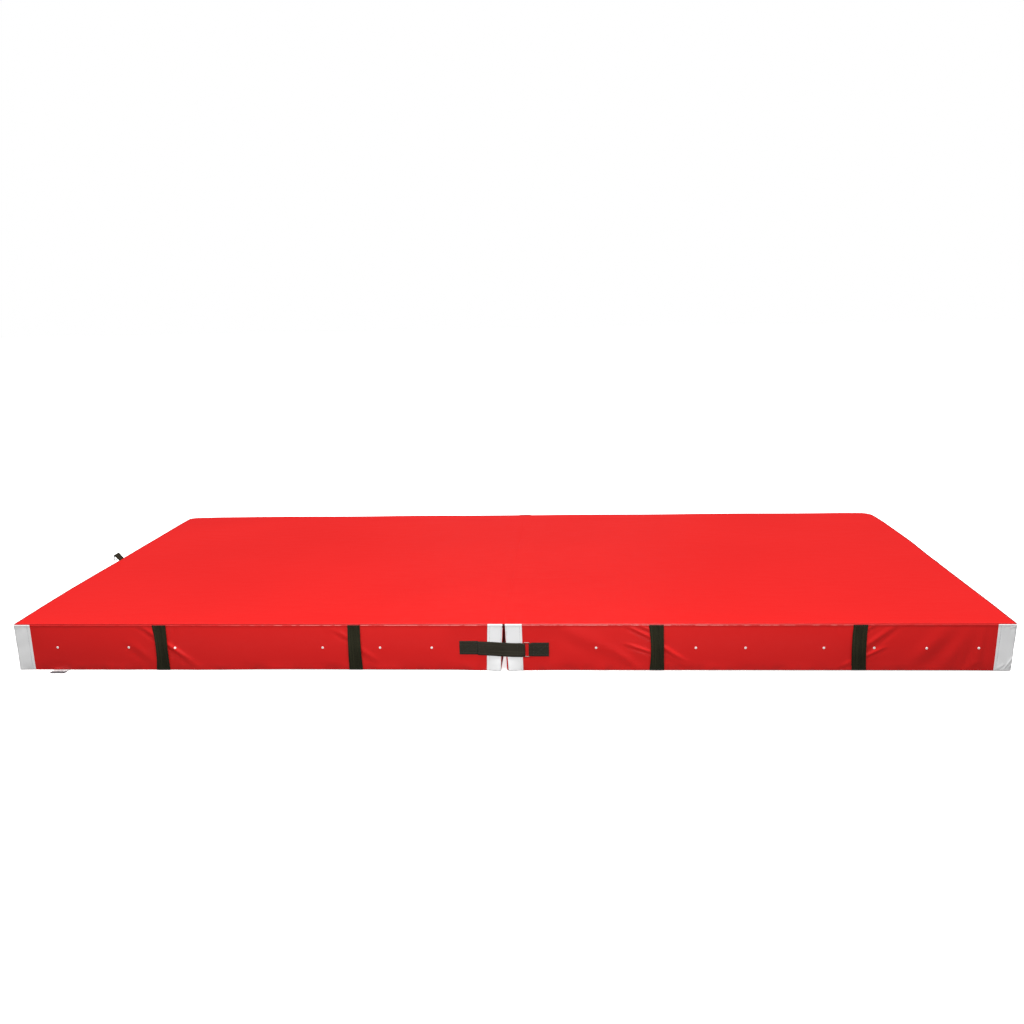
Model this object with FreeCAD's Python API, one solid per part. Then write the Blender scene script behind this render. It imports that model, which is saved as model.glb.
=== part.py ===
import FreeCAD, Part
import os

# A folding landing mat: two foam blocks in coated-fabric covers, joined along a fold in the top.
# Millimetres. The origin is the centre of the footprint on the floor, X runs along the length,
# Y across the depth with the front at -Y, and Z is up. The left half is at -X.

# ---- driving dimensions -------------------------------------------------------------------------
HALF = 2000.0           # each half, from the fold to its outer end
DEPTH = 2000.0
THICK = 200.0
SKIN = 1.0              # coated fabric of the cover
CORNER_R = 20.0         # outer corners of the blocks, seen from above

GAP_TOP = 9.0           # between the two blocks just under the top
GAP_BOTTOM = 23.0       # between the two blocks on the floor
FOLD_STRIP = 40.0       # width of the top fabric that bends at the fold

CORNER_OUTER = 65.0     # white reinforcement at the outer corners, each leg
CORNER_INNER = 72.0     # white reinforcement on the long walls, measured from the fold
CORNER_WRAP = 60.0      # and how far it goes round onto the fold wall

WEB = 50.0              # width of every piece of webbing
PLY = 2.0               # one layer of webbing

HANDLES = {"inner": 600.0, "outer": 1400.0}     # centres, measured from the fold
HANDLE_BOW = 18.0       # how far a handle stands off the wall at mid height
HANDLE_SEWN = 10.0      # length sewn down at each end

EYELET_R = 6.0          # flange of a vent eyelet
EYELET_HOLE_R = 2.5
EYELET_BARREL = 0.5     # wall of its barrel
EYELET_PROUD = 0.8      # flange thickness, outside the wall
EYELET_Z = THICK / 2
# Vent positions along a long wall, measured from the fold. One on the right is behind a handle.
EYELETS = {
    "left": (290.0, 500.0, 735.0, 1345.0, 1540.0, 1840.0),
    "right": (370.0, 590.0, 765.0, 960.0, 1265.0, 1460.0, 1660.0, 1860.0),
}

WIRE_R = 2.0            # wire of the rectangular rings
RING_WIDE = 25.0        # between the centre lines of the two long bars
RING_TALL = WEB + 8.0   # between the centre lines of the two short bars
RING_BEND = 4.0         # centre-line radius at its corners
EYE_R = WIRE_R + 0.2    # inside of a webbing loop round the wire
LOOP_R = EYE_R + PLY    # outside of it

PATCH_X = (-178.0, -104.5)      # sewn end of the coupling strap, on the left half
PATCH_Z = 101.0                 # its mid height
STRAP_X = (-103.5, 76.5)        # free part of the coupling strap
STRAP_Z = 96.5
STRAP_OFF = 0.4                 # strap to wall
STRAP_SPLIT = 20.0              # length over which its two layers open out to pass the ring's bar
RING_X = 80.0                   # the bar that the strap turns round
RING_Z = 92.0
BAR_OFF = LOOP_R + 0.2          # bar's centre line to the wall
RING_TAB_X = (117.0, 182.0)     # sewn part of the ring's tab, on the right half

END_TAB_Y = 30.0        # webbing tab with a ring, in the top seam of the left end
END_TAB_OUT = 30.0      # its ring bar stands this far outside the end wall
END_TAB_UP = 24.0       # and this far above the top
LINK_Y = -70.0          # hook-and-loop strap in the top seam of the right end
LINK_Z = (95.0, 195.0)
LINK_THICK = 3.0

ZIP_Z = 43.0            # zip along each outer end wall
ZIP_TAPE = (30.0, 0.8, 1780.0)      # width, thickness, length
ZIP_TEETH = (5.0, 1.8, 1760.0)
SLIDER_Y = -865.0       # slider at the closed end
SLIDER_LONG = 14.0
PIN_OUT = 5.6           # pull tab's pin, measured outwards from the end wall
PULL_LONG = 28.0
PULL_WIDE = 8.0

LABEL_X = (-1860.0, -1798.0)    # blank care label in the bottom front seam
LABEL_Z = (0.4, 1.2)
LABEL_OUT = 36.0

HINGE_TAB = 62.0        # width of the webbing over the back end of the fold
HINGE_TAB_TOP = 12.0    # how far it reaches onto the top, where it is let in flush
HINGE_TAB_DOWN = 28.0   # and down the back walls
HINGE_TAB_THICK = 0.6

SIDES = {"left": -1, "right": 1}
WALLS = {"front": -1, "back": 1}
Y_WALL = DEPTH / 2
INSIDE_Z = (SKIN, THICK - SKIN)


# ---- helpers ------------------------------------------------------------------------------------
def box(x, y, z):
    """A block between the two values of each of x, y and z, in either order."""
    low = [min(pair) for pair in (x, y, z)]
    size = [abs(pair[1] - pair[0]) for pair in (x, y, z)]
    return Part.makeBox(*size, FreeCAD.Vector(*low))


def about(middle, width):
    return (middle - width / 2, middle + width / 2)


def prism(points, along):
    """A flat closed outline swept along a vector."""
    corners = [FreeCAD.Vector(*p) for p in points]
    return Part.Face(Part.makePolygon(corners + corners[:1])).extrude(FreeCAD.Vector(*along))


def cylinder(radius, start, along):
    direction = FreeCAD.Vector(*along)
    return Part.makeCylinder(radius, direction.Length, FreeCAD.Vector(*start), direction)


def is_upright(edge):
    return abs(edge.tangentAt(edge.FirstParameter).z) > 0.999


def round_outer_corners(shape, radius):
    """Rounds the upright edges of a half at its outer end."""
    return shape.makeFillet(
        radius, [e for e in shape.Edges if is_upright(e) and abs(e.CenterOfMass.x) > HALF / 2])


def fold_x(z):
    """Distance from the fold plane to a block's inner face, which leans back towards the floor."""
    return (GAP_TOP + (GAP_BOTTOM - GAP_TOP) * (THICK - z) / THICK) / 2


def save(name, shape):
    if not shape.isValid() or shape.Volume <= 0:
        raise ValueError(f"{name} is not a sound solid")
    shape.exportStep(f"parts/{name}.step")
    print(f"{name:28s} {len(shape.Solids):3d} solids {shape.Volume / 1000:12.2f} cm3")


# ---- foam and covers ----------------------------------------------------------------------------
def foam_core(side):
    low, high = INSIDE_Z
    reach, outer = Y_WALL - SKIN, HALF - SKIN
    outline = [(fold_x(low) + SKIN, low), (outer, low), (outer, high), (fold_x(high) + SKIN, high)]
    block = prism([(side * x, -reach, z) for x, z in outline], (0, 2 * reach, 0))
    return round_outer_corners(block, CORNER_R - SKIN)


def flat_panel(side, x_inner, z):
    panel = box((side * x_inner, side * HALF), (-Y_WALL, Y_WALL), z)
    return round_outer_corners(panel, CORNER_R)


def long_wall(side, wall, vents):
    x = (side * CORNER_INNER, side * (HALF - CORNER_OUTER))
    shape = box(x, (wall * Y_WALL, wall * (Y_WALL - SKIN)), INSIDE_Z)
    hole_r = EYELET_HOLE_R + EYELET_BARREL + 0.1
    for distance in vents:
        start = (side * distance, wall * (Y_WALL + SKIN), EYELET_Z)
        shape = shape.cut(cylinder(hole_r, start, (0, -wall * 3 * SKIN, 0)))
    return shape


def end_wall(side):
    reach = Y_WALL - CORNER_OUTER
    return box((side * (HALF - SKIN), side * HALF), (-reach, reach), INSIDE_Z)


def leaning_sheet(side, y):
    """A sheet along the leaning inner face of one half."""
    low, high = INSIDE_Z
    outline = [(fold_x(low), low), (fold_x(low) + SKIN, low),
               (fold_x(high) + SKIN, high), (fold_x(high), high)]
    return prism([(side * x, y[0], z) for x, z in outline], (0, y[1] - y[0], 0))


def fold_wall(side):
    reach = Y_WALL - CORNER_WRAP
    return leaning_sheet(side, (-reach, reach))


def outer_corner(side, wall):
    """An angle of white fabric with a rounded bend."""
    def block(x_inner, x_outer, y_inner, y_outer, radius):
        solid = box((side * x_inner, side * x_outer), (wall * y_inner, wall * y_outer), INSIDE_Z)
        edge = max((e for e in solid.Edges if is_upright(e)),
                   key=lambda e: side * e.CenterOfMass.x + wall * e.CenterOfMass.y)
        return solid.makeFillet(radius, [edge])

    x_inner, y_inner = HALF - CORNER_OUTER, Y_WALL - CORNER_OUTER
    outside = block(x_inner, HALF, y_inner, Y_WALL, CORNER_R)
    inside = block(x_inner - SKIN, HALF - SKIN, y_inner - SKIN, Y_WALL - SKIN, CORNER_R - SKIN)
    return outside.cut(inside)


def inner_corner(side, wall):
    """White fabric on the long wall beside the fold, turned round onto the fold wall."""
    low, high = INSIDE_Z
    outside, inside = wall * Y_WALL, wall * (Y_WALL - SKIN)
    outline = [(fold_x(low), low), (CORNER_INNER, low), (CORNER_INNER, high), (fold_x(high), high)]
    face = prism([(side * x, outside, z) for x, z in outline], (0, inside - outside, 0))
    wrap = leaning_sheet(side, (inside, wall * (Y_WALL - CORNER_WRAP)))
    return face.fuse(wrap).removeSplitter()


def eyelets(side, wall, vents):
    """Pressed metal rings: a flange outside the wall and a short barrel through it."""
    rings = []
    for distance in vents:
        x, y = side * distance, wall * Y_WALL
        flange = cylinder(EYELET_R, (x, y, EYELET_Z), (0, wall * EYELET_PROUD, 0))
        barrel = cylinder(EYELET_HOLE_R + EYELET_BARREL, (x, y, EYELET_Z), (0, -wall * SKIN, 0))
        start = (x, y + wall * 2 * EYELET_PROUD, EYELET_Z)
        hole = cylinder(EYELET_HOLE_R, start, (0, -wall * 4 * SKIN, 0))
        rings.append(flange.fuse(barrel).cut(hole))
    return Part.makeCompound(rings)


def handle(x, wall):
    """A slack strap sewn down at the top and bottom seams, bowed off the wall between them."""
    top, bottom = THICK - 2 * SKIN, 2 * SKIN

    def at(off, z):
        return FreeCAD.Vector(x - WEB / 2, wall * (Y_WALL + off), z)

    def face_line(off):
        sewn_top, sewn_bottom = top - HANDLE_SEWN, bottom + HANDLE_SEWN
        bow = Part.Arc(at(off, sewn_top), at(off + HANDLE_BOW, THICK / 2), at(off, sewn_bottom))
        return [Part.LineSegment(at(off, top), at(off, sewn_top)), bow,
                Part.LineSegment(at(off, sewn_bottom), at(off, bottom))]

    ends = [Part.LineSegment(at(0, z), at(PLY, z)) for z in (top, bottom)]
    edges = [g.toShape() for g in face_line(0) + face_line(PLY) + ends]
    wire = Part.Wire(Part.__sortEdges__(edges))
    return Part.Face(wire).extrude(FreeCAD.Vector(WEB, 0, 0))


def make_half(half, side):
    save(f"{half}_foam_core", foam_core(side))
    top_panel = flat_panel(side, FOLD_STRIP / 2, (THICK - SKIN, THICK))
    save(f"{half}_top_panel", top_panel.cut(hinge_tab_on_top()))
    save(f"{half}_bottom_panel", flat_panel(side, fold_x(0), (0, SKIN)))
    save(f"{half}_end_wall", end_wall(side))
    save(f"{half}_fold_wall", fold_wall(side))
    for name, wall in WALLS.items():
        save(f"{half}_{name}_wall", long_wall(side, wall, EYELETS[half]))
        save(f"{half}_{name}_outer_corner", outer_corner(side, wall))
        save(f"{half}_{name}_inner_corner", inner_corner(side, wall))
        save(f"{half}_{name}_eyelets", eyelets(side, wall, EYELETS[half]))
        for place, distance in HANDLES.items():
            save(f"{half}_{name}_{place}_handle", handle(side * distance, wall))


# ---- the fold -----------------------------------------------------------------------------------
def hinge_tab_on_top():
    """The part of the back hinge tab that takes the place of the top fabric."""
    return box(about(0, HINGE_TAB), (Y_WALL - HINGE_TAB_TOP, Y_WALL), (THICK - SKIN, THICK))


def fold_strip():
    """The middle of the top fabric, which bends when the halves fold."""
    strip = box(about(0, FOLD_STRIP), (-Y_WALL, Y_WALL), (THICK - SKIN, THICK))
    return strip.cut(hinge_tab_on_top())


def front_hinge_tab():
    """Webbing folded over the front end of the fold, hanging between the two blocks."""
    y = (-Y_WALL - SKIN, -Y_WALL + 2 * HANDLE_SEWN)
    outside = box(about(0, GAP_TOP - 1), y, (THICK - 17, THICK - 1.5))
    return outside.cut(box(about(0, GAP_TOP - 4.6), y, (THICK - 17, THICK - 3.5)))


def back_hinge_tab():
    """Webbing over the back end of the fold: a little on top, the rest down the back walls."""
    down = box(about(0, HINGE_TAB), (Y_WALL, Y_WALL + HINGE_TAB_THICK),
               (THICK - HINGE_TAB_DOWN, THICK))
    return hinge_tab_on_top().fuse(down)


# ---- rings and straps ---------------------------------------------------------------------------
def rectangular_ring(corner, wide, tall):
    """Round wire bent into a rectangle, from one corner and the vectors along its sides."""
    corner, wide, tall = (FreeCAD.Vector(*v) for v in (corner, wide, tall))
    sides = [wide, tall, -wide, -tall]
    pieces = []
    for line, following in zip(sides, sides[1:] + sides[:1]):
        way, turn = FreeCAD.Vector(line).normalize(), FreeCAD.Vector(following).normalize()
        start, end = corner + way * RING_BEND, corner + line - way * RING_BEND
        section = Part.Face(Part.Wire(Part.makeCircle(WIRE_R, end, way)))
        pieces.append(cylinder(WIRE_R, start, end - start))
        pieces.append(section.revolve(end + turn * RING_BEND, way.cross(turn), 90))
        corner = corner + line
    return pieces[0].fuse(pieces[1:]).removeSplitter()


def looped_tab(root, bar, along):
    """Webbing folded round a ring's bar and sewn shut.

    root is the two corners of its sewn end and bar the centre of the bar, both on one edge of the
    webbing. along is the webbing's width as a vector, which is also the bar's direction.
    """
    a, b, centre, across = (FreeCAD.Vector(*p) for p in (*root, bar, along))
    beside = (centre - (a + b) * 0.5).cross(across).normalize() * LOOP_R
    if (a - b).dot(beside) < 0:
        beside = -beside
    body = prism([a, centre + beside, centre - beside, b], across)
    body = body.fuse(cylinder(LOOP_R, centre, across))
    return body.cut(cylinder(EYE_R, centre, across))


def u_bend(x_open, x_bar, y_bar, z):
    """Webbing turned round an upright bar, with its two layers running back to x_open."""
    def profile(radius):
        points = [(x_open, y_bar + radius), (x_bar, y_bar + radius), (x_bar + radius, y_bar),
                  (x_bar, y_bar - radius), (x_open, y_bar - radius)]
        p = [FreeCAD.Vector(x, y, z[0]) for x, y in points]
        edges = [Part.LineSegment(p[0], p[1]), Part.Arc(p[1], p[2], p[3]),
                 Part.LineSegment(p[3], p[4]), Part.LineSegment(p[4], p[0])]
        face = Part.Face(Part.Wire([e.toShape() for e in edges]))
        return face.extrude(FreeCAD.Vector(0, 0, z[1] - z[0]))

    return profile(LOOP_R).cut(profile(EYE_R))


def make_coupling(name, wall):
    """Hook-and-loop strap across the fold on one long wall, and the ring that it turns round."""
    anchor_y = (wall * Y_WALL, wall * (Y_WALL + PLY))
    save(f"{name}_strap_anchor", box(PATCH_X, anchor_y, about(PATCH_Z, WEB)))

    # two layers pressed together, which open out to pass either side of the bar
    near, far = Y_WALL + STRAP_OFF, Y_WALL + STRAP_OFF + 2 * PLY
    outline = [(STRAP_X[0], near), (STRAP_X[1], near), (STRAP_X[1], Y_WALL + BAR_OFF + LOOP_R),
               (STRAP_X[1] - STRAP_SPLIT, far), (STRAP_X[0], far)]
    strap_low = STRAP_Z - WEB / 2
    save(f"{name}_strap", prism([(x, wall * y, strap_low) for x, y in outline], (0, 0, WEB)))

    bar_y, web_z = wall * (Y_WALL + BAR_OFF), about(RING_Z, WEB)
    save(f"{name}_strap_loop", u_bend(STRAP_X[1], RING_X, bar_y, web_z))

    corner = (RING_X, bar_y, RING_Z - RING_TALL / 2)
    save(f"{name}_ring", rectangular_ring(corner, (RING_WIDE, 0, 0), (0, 0, RING_TALL)))

    tab_y = (wall * Y_WALL, wall * (Y_WALL + 2 * PLY))
    root = [(RING_TAB_X[0], y, web_z[0]) for y in (wall * (Y_WALL + 0.2), tab_y[1])]
    tab = looped_tab(root, (RING_X + RING_WIDE, bar_y, web_z[0]), (0, 0, WEB))
    save(f"{name}_ring_tab", tab.fuse(box(RING_TAB_X, tab_y, web_z)).removeSplitter())


def make_end_tab():
    """Webbing tab standing up and out from the top seam of the left end, with its ring."""
    y = about(END_TAB_Y, WEB)
    bar_x, bar_z = -HALF - END_TAB_OUT, THICK + END_TAB_UP
    root = [(-HALF, y[0], THICK), (-HALF, y[0], THICK - 2 * PLY)]
    save("end_ring_tab", looped_tab(root, (bar_x, y[0], bar_z), (0, WEB, 0)))
    corner = (bar_x, END_TAB_Y - RING_TALL / 2, bar_z)
    save("end_ring", rectangular_ring(corner, (0, RING_TALL, 0), (0, 0, -RING_WIDE)))


def make_link_strap():
    """Strap that hangs down the right end and turns round the end ring of a neighbouring mat."""
    x = (HALF + STRAP_OFF, HALF + STRAP_OFF + LINK_THICK)
    save("link_strap", box(x, about(LINK_Y, WEB), LINK_Z))


def make_zip(half, side):
    """Zip low on the outer end wall, through which the foam block goes in."""
    def outwards(low, high):
        return (side * (HALF + low), side * (HALF + high))

    tape_wide, tape_thick, tape_long = ZIP_TAPE
    teeth_wide, teeth_thick, teeth_long = ZIP_TEETH
    teeth_top = tape_thick + teeth_thick
    save(f"{half}_zip_tape",
         box(outwards(0, tape_thick), about(0, tape_long), about(ZIP_Z, tape_wide)))
    save(f"{half}_zip_teeth",
         box(outwards(tape_thick, teeth_top), about(0, teeth_long), about(ZIP_Z, teeth_wide)))

    # a plate over the teeth with a flange each side, and an arch for the pull tab's pin
    clear, plate = 0.4, 1.4
    body_y = about(SLIDER_Y, SLIDER_LONG)
    plate_low, plate_high = teeth_top + clear, teeth_top + clear + plate
    slider = box(outwards(plate_low, plate_high), body_y, about(ZIP_Z, teeth_wide + 4.6))
    for z in (ZIP_Z - teeth_wide / 2 - 1.5, ZIP_Z + teeth_wide / 2 + 1.5):
        slider = slider.fuse(box(outwards(tape_thick + clear, plate_low), body_y, about(z, 1.6)))
    arch = box(outwards(plate_high, plate_high + 3.5), about(SLIDER_Y, 6.8), about(ZIP_Z, 3))
    arch = arch.cut(box(outwards(plate_high, plate_high + 2.5), about(SLIDER_Y, 4.4),
                        about(ZIP_Z, 3)))
    save(f"{half}_zip_slider", slider.fuse(arch).removeSplitter())

    pin_z = about(ZIP_Z, PULL_WIDE)
    tab_x = outwards(PIN_OUT - 0.6, PIN_OUT + 0.6)
    arm_long = 7.0
    pull = box(tab_x, (SLIDER_Y - PULL_LONG, SLIDER_Y - arm_long), pin_z)
    for z in (pin_z[0] + 0.7, pin_z[1] - 0.7):
        pull = pull.fuse(box(tab_x, (SLIDER_Y - arm_long, SLIDER_Y), about(z, 1.4)))
    pin = cylinder(0.8, (side * (HALF + PIN_OUT), SLIDER_Y, pin_z[0]), (0, 0, PULL_WIDE))
    save(f"{half}_zip_pull", pull.fuse(pin).removeSplitter())


# ---- the whole mat ------------------------------------------------------------------------------
os.makedirs("parts", exist_ok=True)
for half_name, half_side in SIDES.items():
    make_half(half_name, half_side)
    make_zip(half_name, half_side)
for wall_name, wall_side in WALLS.items():
    make_coupling(wall_name, wall_side)
save("fold_strip", fold_strip())
save("front_hinge_tab", front_hinge_tab())
save("back_hinge_tab", back_hinge_tab())
make_end_tab()
make_link_strap()
save("care_label", box(LABEL_X, (-Y_WALL, -Y_WALL - LABEL_OUT), LABEL_Z))
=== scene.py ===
import math
import random

import bmesh
import bpy
import numpy as np
from mathutils import Matrix, Vector


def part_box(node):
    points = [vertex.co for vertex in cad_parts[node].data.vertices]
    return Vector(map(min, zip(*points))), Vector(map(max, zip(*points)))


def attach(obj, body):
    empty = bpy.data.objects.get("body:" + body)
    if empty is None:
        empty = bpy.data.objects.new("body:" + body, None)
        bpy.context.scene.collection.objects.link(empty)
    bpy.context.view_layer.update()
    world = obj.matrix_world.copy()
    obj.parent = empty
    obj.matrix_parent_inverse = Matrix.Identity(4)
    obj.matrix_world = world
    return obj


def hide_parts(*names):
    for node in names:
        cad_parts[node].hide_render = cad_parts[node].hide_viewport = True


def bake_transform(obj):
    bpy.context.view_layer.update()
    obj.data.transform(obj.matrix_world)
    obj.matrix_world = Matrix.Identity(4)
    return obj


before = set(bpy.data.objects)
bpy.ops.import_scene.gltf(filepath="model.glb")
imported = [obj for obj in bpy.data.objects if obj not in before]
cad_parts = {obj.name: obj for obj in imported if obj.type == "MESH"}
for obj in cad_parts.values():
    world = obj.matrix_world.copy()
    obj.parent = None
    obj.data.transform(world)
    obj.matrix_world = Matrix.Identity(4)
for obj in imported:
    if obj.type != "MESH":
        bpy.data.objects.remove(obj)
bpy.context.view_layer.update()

# A folding landing mat. Metres throughout, in the frame's own axes: X along the length with the fold
# at x = 0, the front at -Y, the floor at z = 0. u is always the distance from the fold.

MM = 0.001
HALVES = {-1: "left", 1: "right"}       # side: which way from the fold
WALLS = {-1: "front", 1: "back"}

# ---- sizes read from the frame ----
top_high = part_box("right_top_panel")[1]
HALF, REACH, THICK = top_high.x, top_high.y, top_high.z
fold_low, fold_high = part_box("right_fold_wall")
GAP_TOP, GAP_FLOOR = fold_low.x, fold_high.x - 1 * MM     # fold plane to a block, top and floor
OUTER_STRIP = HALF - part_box("right_front_outer_corner")[0].x
INNER_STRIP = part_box("right_front_inner_corner")[1].x
STRIPS = {(-1, "outer"): OUTER_STRIP - 2 * MM, (-1, "inner"): INNER_STRIP - 9 * MM,
          (1, "outer"): OUTER_STRIP + 6 * MM, (1, "inner"): INNER_STRIP}
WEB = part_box("front_strap")[1].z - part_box("front_strap")[0].z
STRAP_WEB = WEB + 7 * MM                # straps and tabs, a little wider than the handles
BUNCHED_WEB = WEB + 1 * MM              # where they go round a ring
WIRE = 2 * MM                           # the rings', as a radius
ROUND_WIRE = WIRE + 1.2 * MM            # and of webbing's middle line round one
ZIP_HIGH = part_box("right_zip_tape")[1].z
HANDLES = {"inner": 0.6, "outer": 1.4}
# Each front handle, at its top, middle and foot: how far it lies to the right of its nominal place and
# its width, in mm; then its lengthwise fold: share across at the top, at the foot, and depth in mm.
HANDLE_SET = {
    (-1, "outer"): ((-7, 0.5, -3), (57, 49, 56), (-0.12, 0.16, 3.2)),
    (-1, "inner"): ((-4, -3, -2.5), (51, 52, 56), (0.22, 0.05, 1.8)),
    (1, "inner"): ((9, 13, 12), (58, 51.5, 58), (-0.05, 0.10, 2.6)),
    (1, "outer"): ((4, -1, 5), (56, 56, 56), (0.05, -0.02, 1.8)),
}
EYELETS = {                             # vent eyelets' distances from the fold
    -1: (0.290, 0.500, 0.735, 1.345, 1.540, 1.840),
    1: (0.370, 0.613, 0.765, 0.960, 1.265, 1.460, 1.660, 1.860),
}

# ---- how the soft cover differs from a sharp box ----
TRIM = {-1: 2 * MM, 1: 6 * MM}          # inner white strips, short of the fold's edge at their feet
R_FOLD = 7 * MM                         # upright corners beside the fold, seen from above
R_FRONT = 9 * MM                        # upright corners at the front outer ends
R_BACK = {-1: 42 * MM, 1: 62 * MM}      # the back ones have lost some of their shape
END_TOP = {                             # how far the ends' top edges stand out, at places in y: m, mm
    -1: ((-1.0, 20), (-0.75, 24), (-0.5, 25), (-0.25, 20), (0.0, 12), (0.25, 9), (0.5, 4), (0.8, 0)),
    1: ((-1.0, 3), (-0.75, 6), (-0.25, 4), (0.05, 3), (0.3, 7), (0.5, 3), (0.75, -4), (1.0, -18)),
}
END_FLOOR = {-1: 13 * MM, 1: -9 * MM}   # and how far their front feet do
GAP_NARROWER = {-1: 5 * MM, 1: 0.0}     # the left half leans towards the fold at the top
BULGE = 3 * MM                          # walls, at mid height
EDGE_DROP = 0.7 * MM                    # top at its edges, below its middle
CORNER_SAG = {-1: 3 * MM, 1: 2 * MM}    # back outer corners
LIP_HIGHLIGHT_AND_WEAR = {                              # how pale the long seams' lips are painted, as painted highlight and rubbed wear: distance from the fold, share
    -1: ((0.05, 0.9), (0.95, 0.7), (1.15, 0.2), (2.0, 0.1)),
    1: ((0.05, 0.5), (0.45, 0.9), (1.30, 0.7), (1.45, 0.2), (2.0, 0.1)),
}
FOOT_LIFT = {                           # front walls' lower edges off the floor: distance from the fold, mm
    -1: ((0.10, 0), (0.2, 2.5), (0.9, 3.5), (1.2, 0), (2.0, 0)),
    1: ((0.10, 0), (0.2, 1.5), (0.9, 3), (1.8, 4), (1.95, 3)),
}

SLACK_LOW, SLACK_HIGH = 0.010, 0.188    # the part of a long wall that is free between its seams
SLACK_START, SLACK_END = 0.19, HALF - 0.06
SLACK = 0.0012                          # how much too large the wall's fabric is for its seams
CLOTH = {"quality": 7, "mass": 0.25, "tension_stiffness": 60, "compression_stiffness": 60,
         "shear_stiffness": 25, "bending_stiffness": 4, "air_damping": 3, "shrink_min": -SLACK}
CLOTH_FRAMES = 30
slack_grids = {}                        # the simulated walls, by half and side of the mat

# The edge of the cover from the top, over the sewn lip, down the wall and under: inset, height, and
# which part of the seam it is, from -1 in its groove to 1 on the lip's crest; the red vinyl paints
# shade into the groove and a highlight on the crest from it.
TOP_EDGE = [(60, 200, 0), (40, 200, 0), (28, 200, 0), (18, 200, 0), (11, 200, 0), (7, 199.97, 0),
            (4.4, 199.85, -0.1), (2.8, 199.5, -0.3), (2.0, 198.9, -0.8), (1.7, 198.2, -1), (2.2, 197.3, -1),
            (2.0, 196.5, -1), (0.8, 196.0, -1), (-0.5, 195.6, -0.2), (-1.1, 195.0, 0.8), (-1.3, 194.2, 1),
            (-1.1, 193.3, 0.6), (-0.5, 192.2, 0), (-0.1, 190.0, 0), (0.0, 187.0, 0)]
RIM_PAINTED_SHADE = -1.5                       # the same measure for the ends' and back's top edges: painted shade along them
WALL_ROWS = 36
FLOOR_EDGE = [(0.0, 11.0, 0), (0.4, 8.5, 0), (0.2, 6.8, 0), (0.6, 4.6, 0), (1.6, 2.4, 0), (3.4, 0.9, 0),
              (6.0, 0.2, 0), (12, 0, 0), (25, 0, 0), (60, 0, 0)]
COARSE_INSET = 90 * MM                  # where the top and base go over to a coarser grid
COLUMNS_LONG, COLUMNS_END, COARSE = 248, 200, 4

# Creases of the front wall: x, z, angle, length, width, height (metres, degrees, metres, mm, mm).
FRONT_CREASES = [
    (-1.395, 0.128, -36, 0.32, 8, 5.6), (-1.315, 0.062, -38, 0.20, 11, 3.6),
    (-1.490, 0.085, -42, 0.18, 16, 2.2),
    (-0.640, 0.150, -28, 0.14, 9, 2.2), (-0.555, 0.075, -36, 0.16, 11, 2.4),
    (0.560, 0.184, -22, 0.10, 5, 4.6), (0.555, 0.160, -27, 0.18, 6, 5.6), (0.560, 0.092, -19, 0.18, 6, 5.2),
    (0.665, 0.085, -34, 0.18, 8, 4.8), (0.700, 0.045, -40, 0.20, 14, 3.4), (0.500, 0.045, -40, 0.20, 15, 3.0),
    (0.300, 0.150, -38, 0.26, 26, 2.2), (0.400, 0.110, -36, 0.28, 24, 2.0),
    (1.445, 0.186, 32, 0.08, 5, 4.2), (1.455, 0.080, 27, 0.13, 6, 5.4), (1.475, 0.145, 38, 0.24, 10, 4.4),
    (1.350, 0.028, 30, 0.15, 9, 3.4), (1.665, 0.100, 50, 0.32, 30, 4.2), (1.770, 0.090, 62, 0.26, 26, 3.0),
    (1.868, 0.100, 88, 0.26, 10, 3.6), (1.840, 0.020, 60, 0.08, 8, 4.0), (1.800, 0.055, 76, 0.13, 9, 3.0),
]
# And those of the right front white corner, with the distance from the corner for x.
CORNER_CREASES = [(-0.013, 0.040, 62, 0.090, 3.4, 3.0), (-0.006, 0.026, 52, 0.050, 2.8, 2.4),
                  (-0.014, 0.187, 24, 0.045, 3.0, 2.0), (-0.045, 0.020, 35, 0.060, 4.0, 1.2)]


# ---- number helpers ----
def smooth(low, high, value):
    t = np.clip((np.asarray(value, float) - low) / (high - low), 0, 1)
    return t * t * (3 - 2 * t)


def fade(low, high, value):
    return 1 - smooth(low, high, value)


def bell(value, centre, width):
    return np.exp(-((value - centre) / width) ** 2)


def looked_up(table, at):
    """A table of (place, value), read between its rows."""
    return np.interp(at, *zip(*table))


def xyz(x, y, z):
    """Points from their coordinates. A coordinate may be one number for all of them."""
    return np.stack(np.broadcast_arrays(*(np.asarray(v, float) for v in (x, y, z))), axis=-1)


def length_along(line):
    """How far along a line each of its points is."""
    return np.concatenate([[0], np.cumsum(np.linalg.norm(np.diff(line, axis=0), axis=1))])


def spread(low, high, count, spots):
    """count steps from low to high, closer together round each (place, width, boost)."""
    t = np.linspace(low, high, 4001)
    density = 1 + sum(boost * bell(t, place, width) for place, width, boost in spots)
    total = np.concatenate([[0], np.cumsum((density[1:] + density[:-1]) / 2)])
    return np.interp(np.linspace(0, total[-1], count + 1), total, t)


def waves(seed, along, across, lengths, heights):
    """A gentle irregular relief: one slanting wave for each length."""
    draw = random.Random(seed)
    total = 0
    for length, height in zip(lengths, heights):
        slant, phase, bend = draw.uniform(-0.8, 0.8), draw.uniform(0, 6.28), draw.uniform(0.6, 1.4)
        total = total + height * np.sin(
            2 * math.pi * (along + slant * across) / length + phase
            + bend * np.sin(2 * math.pi * along / (3.7 * length) + 2 * phase))
    return total


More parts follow.
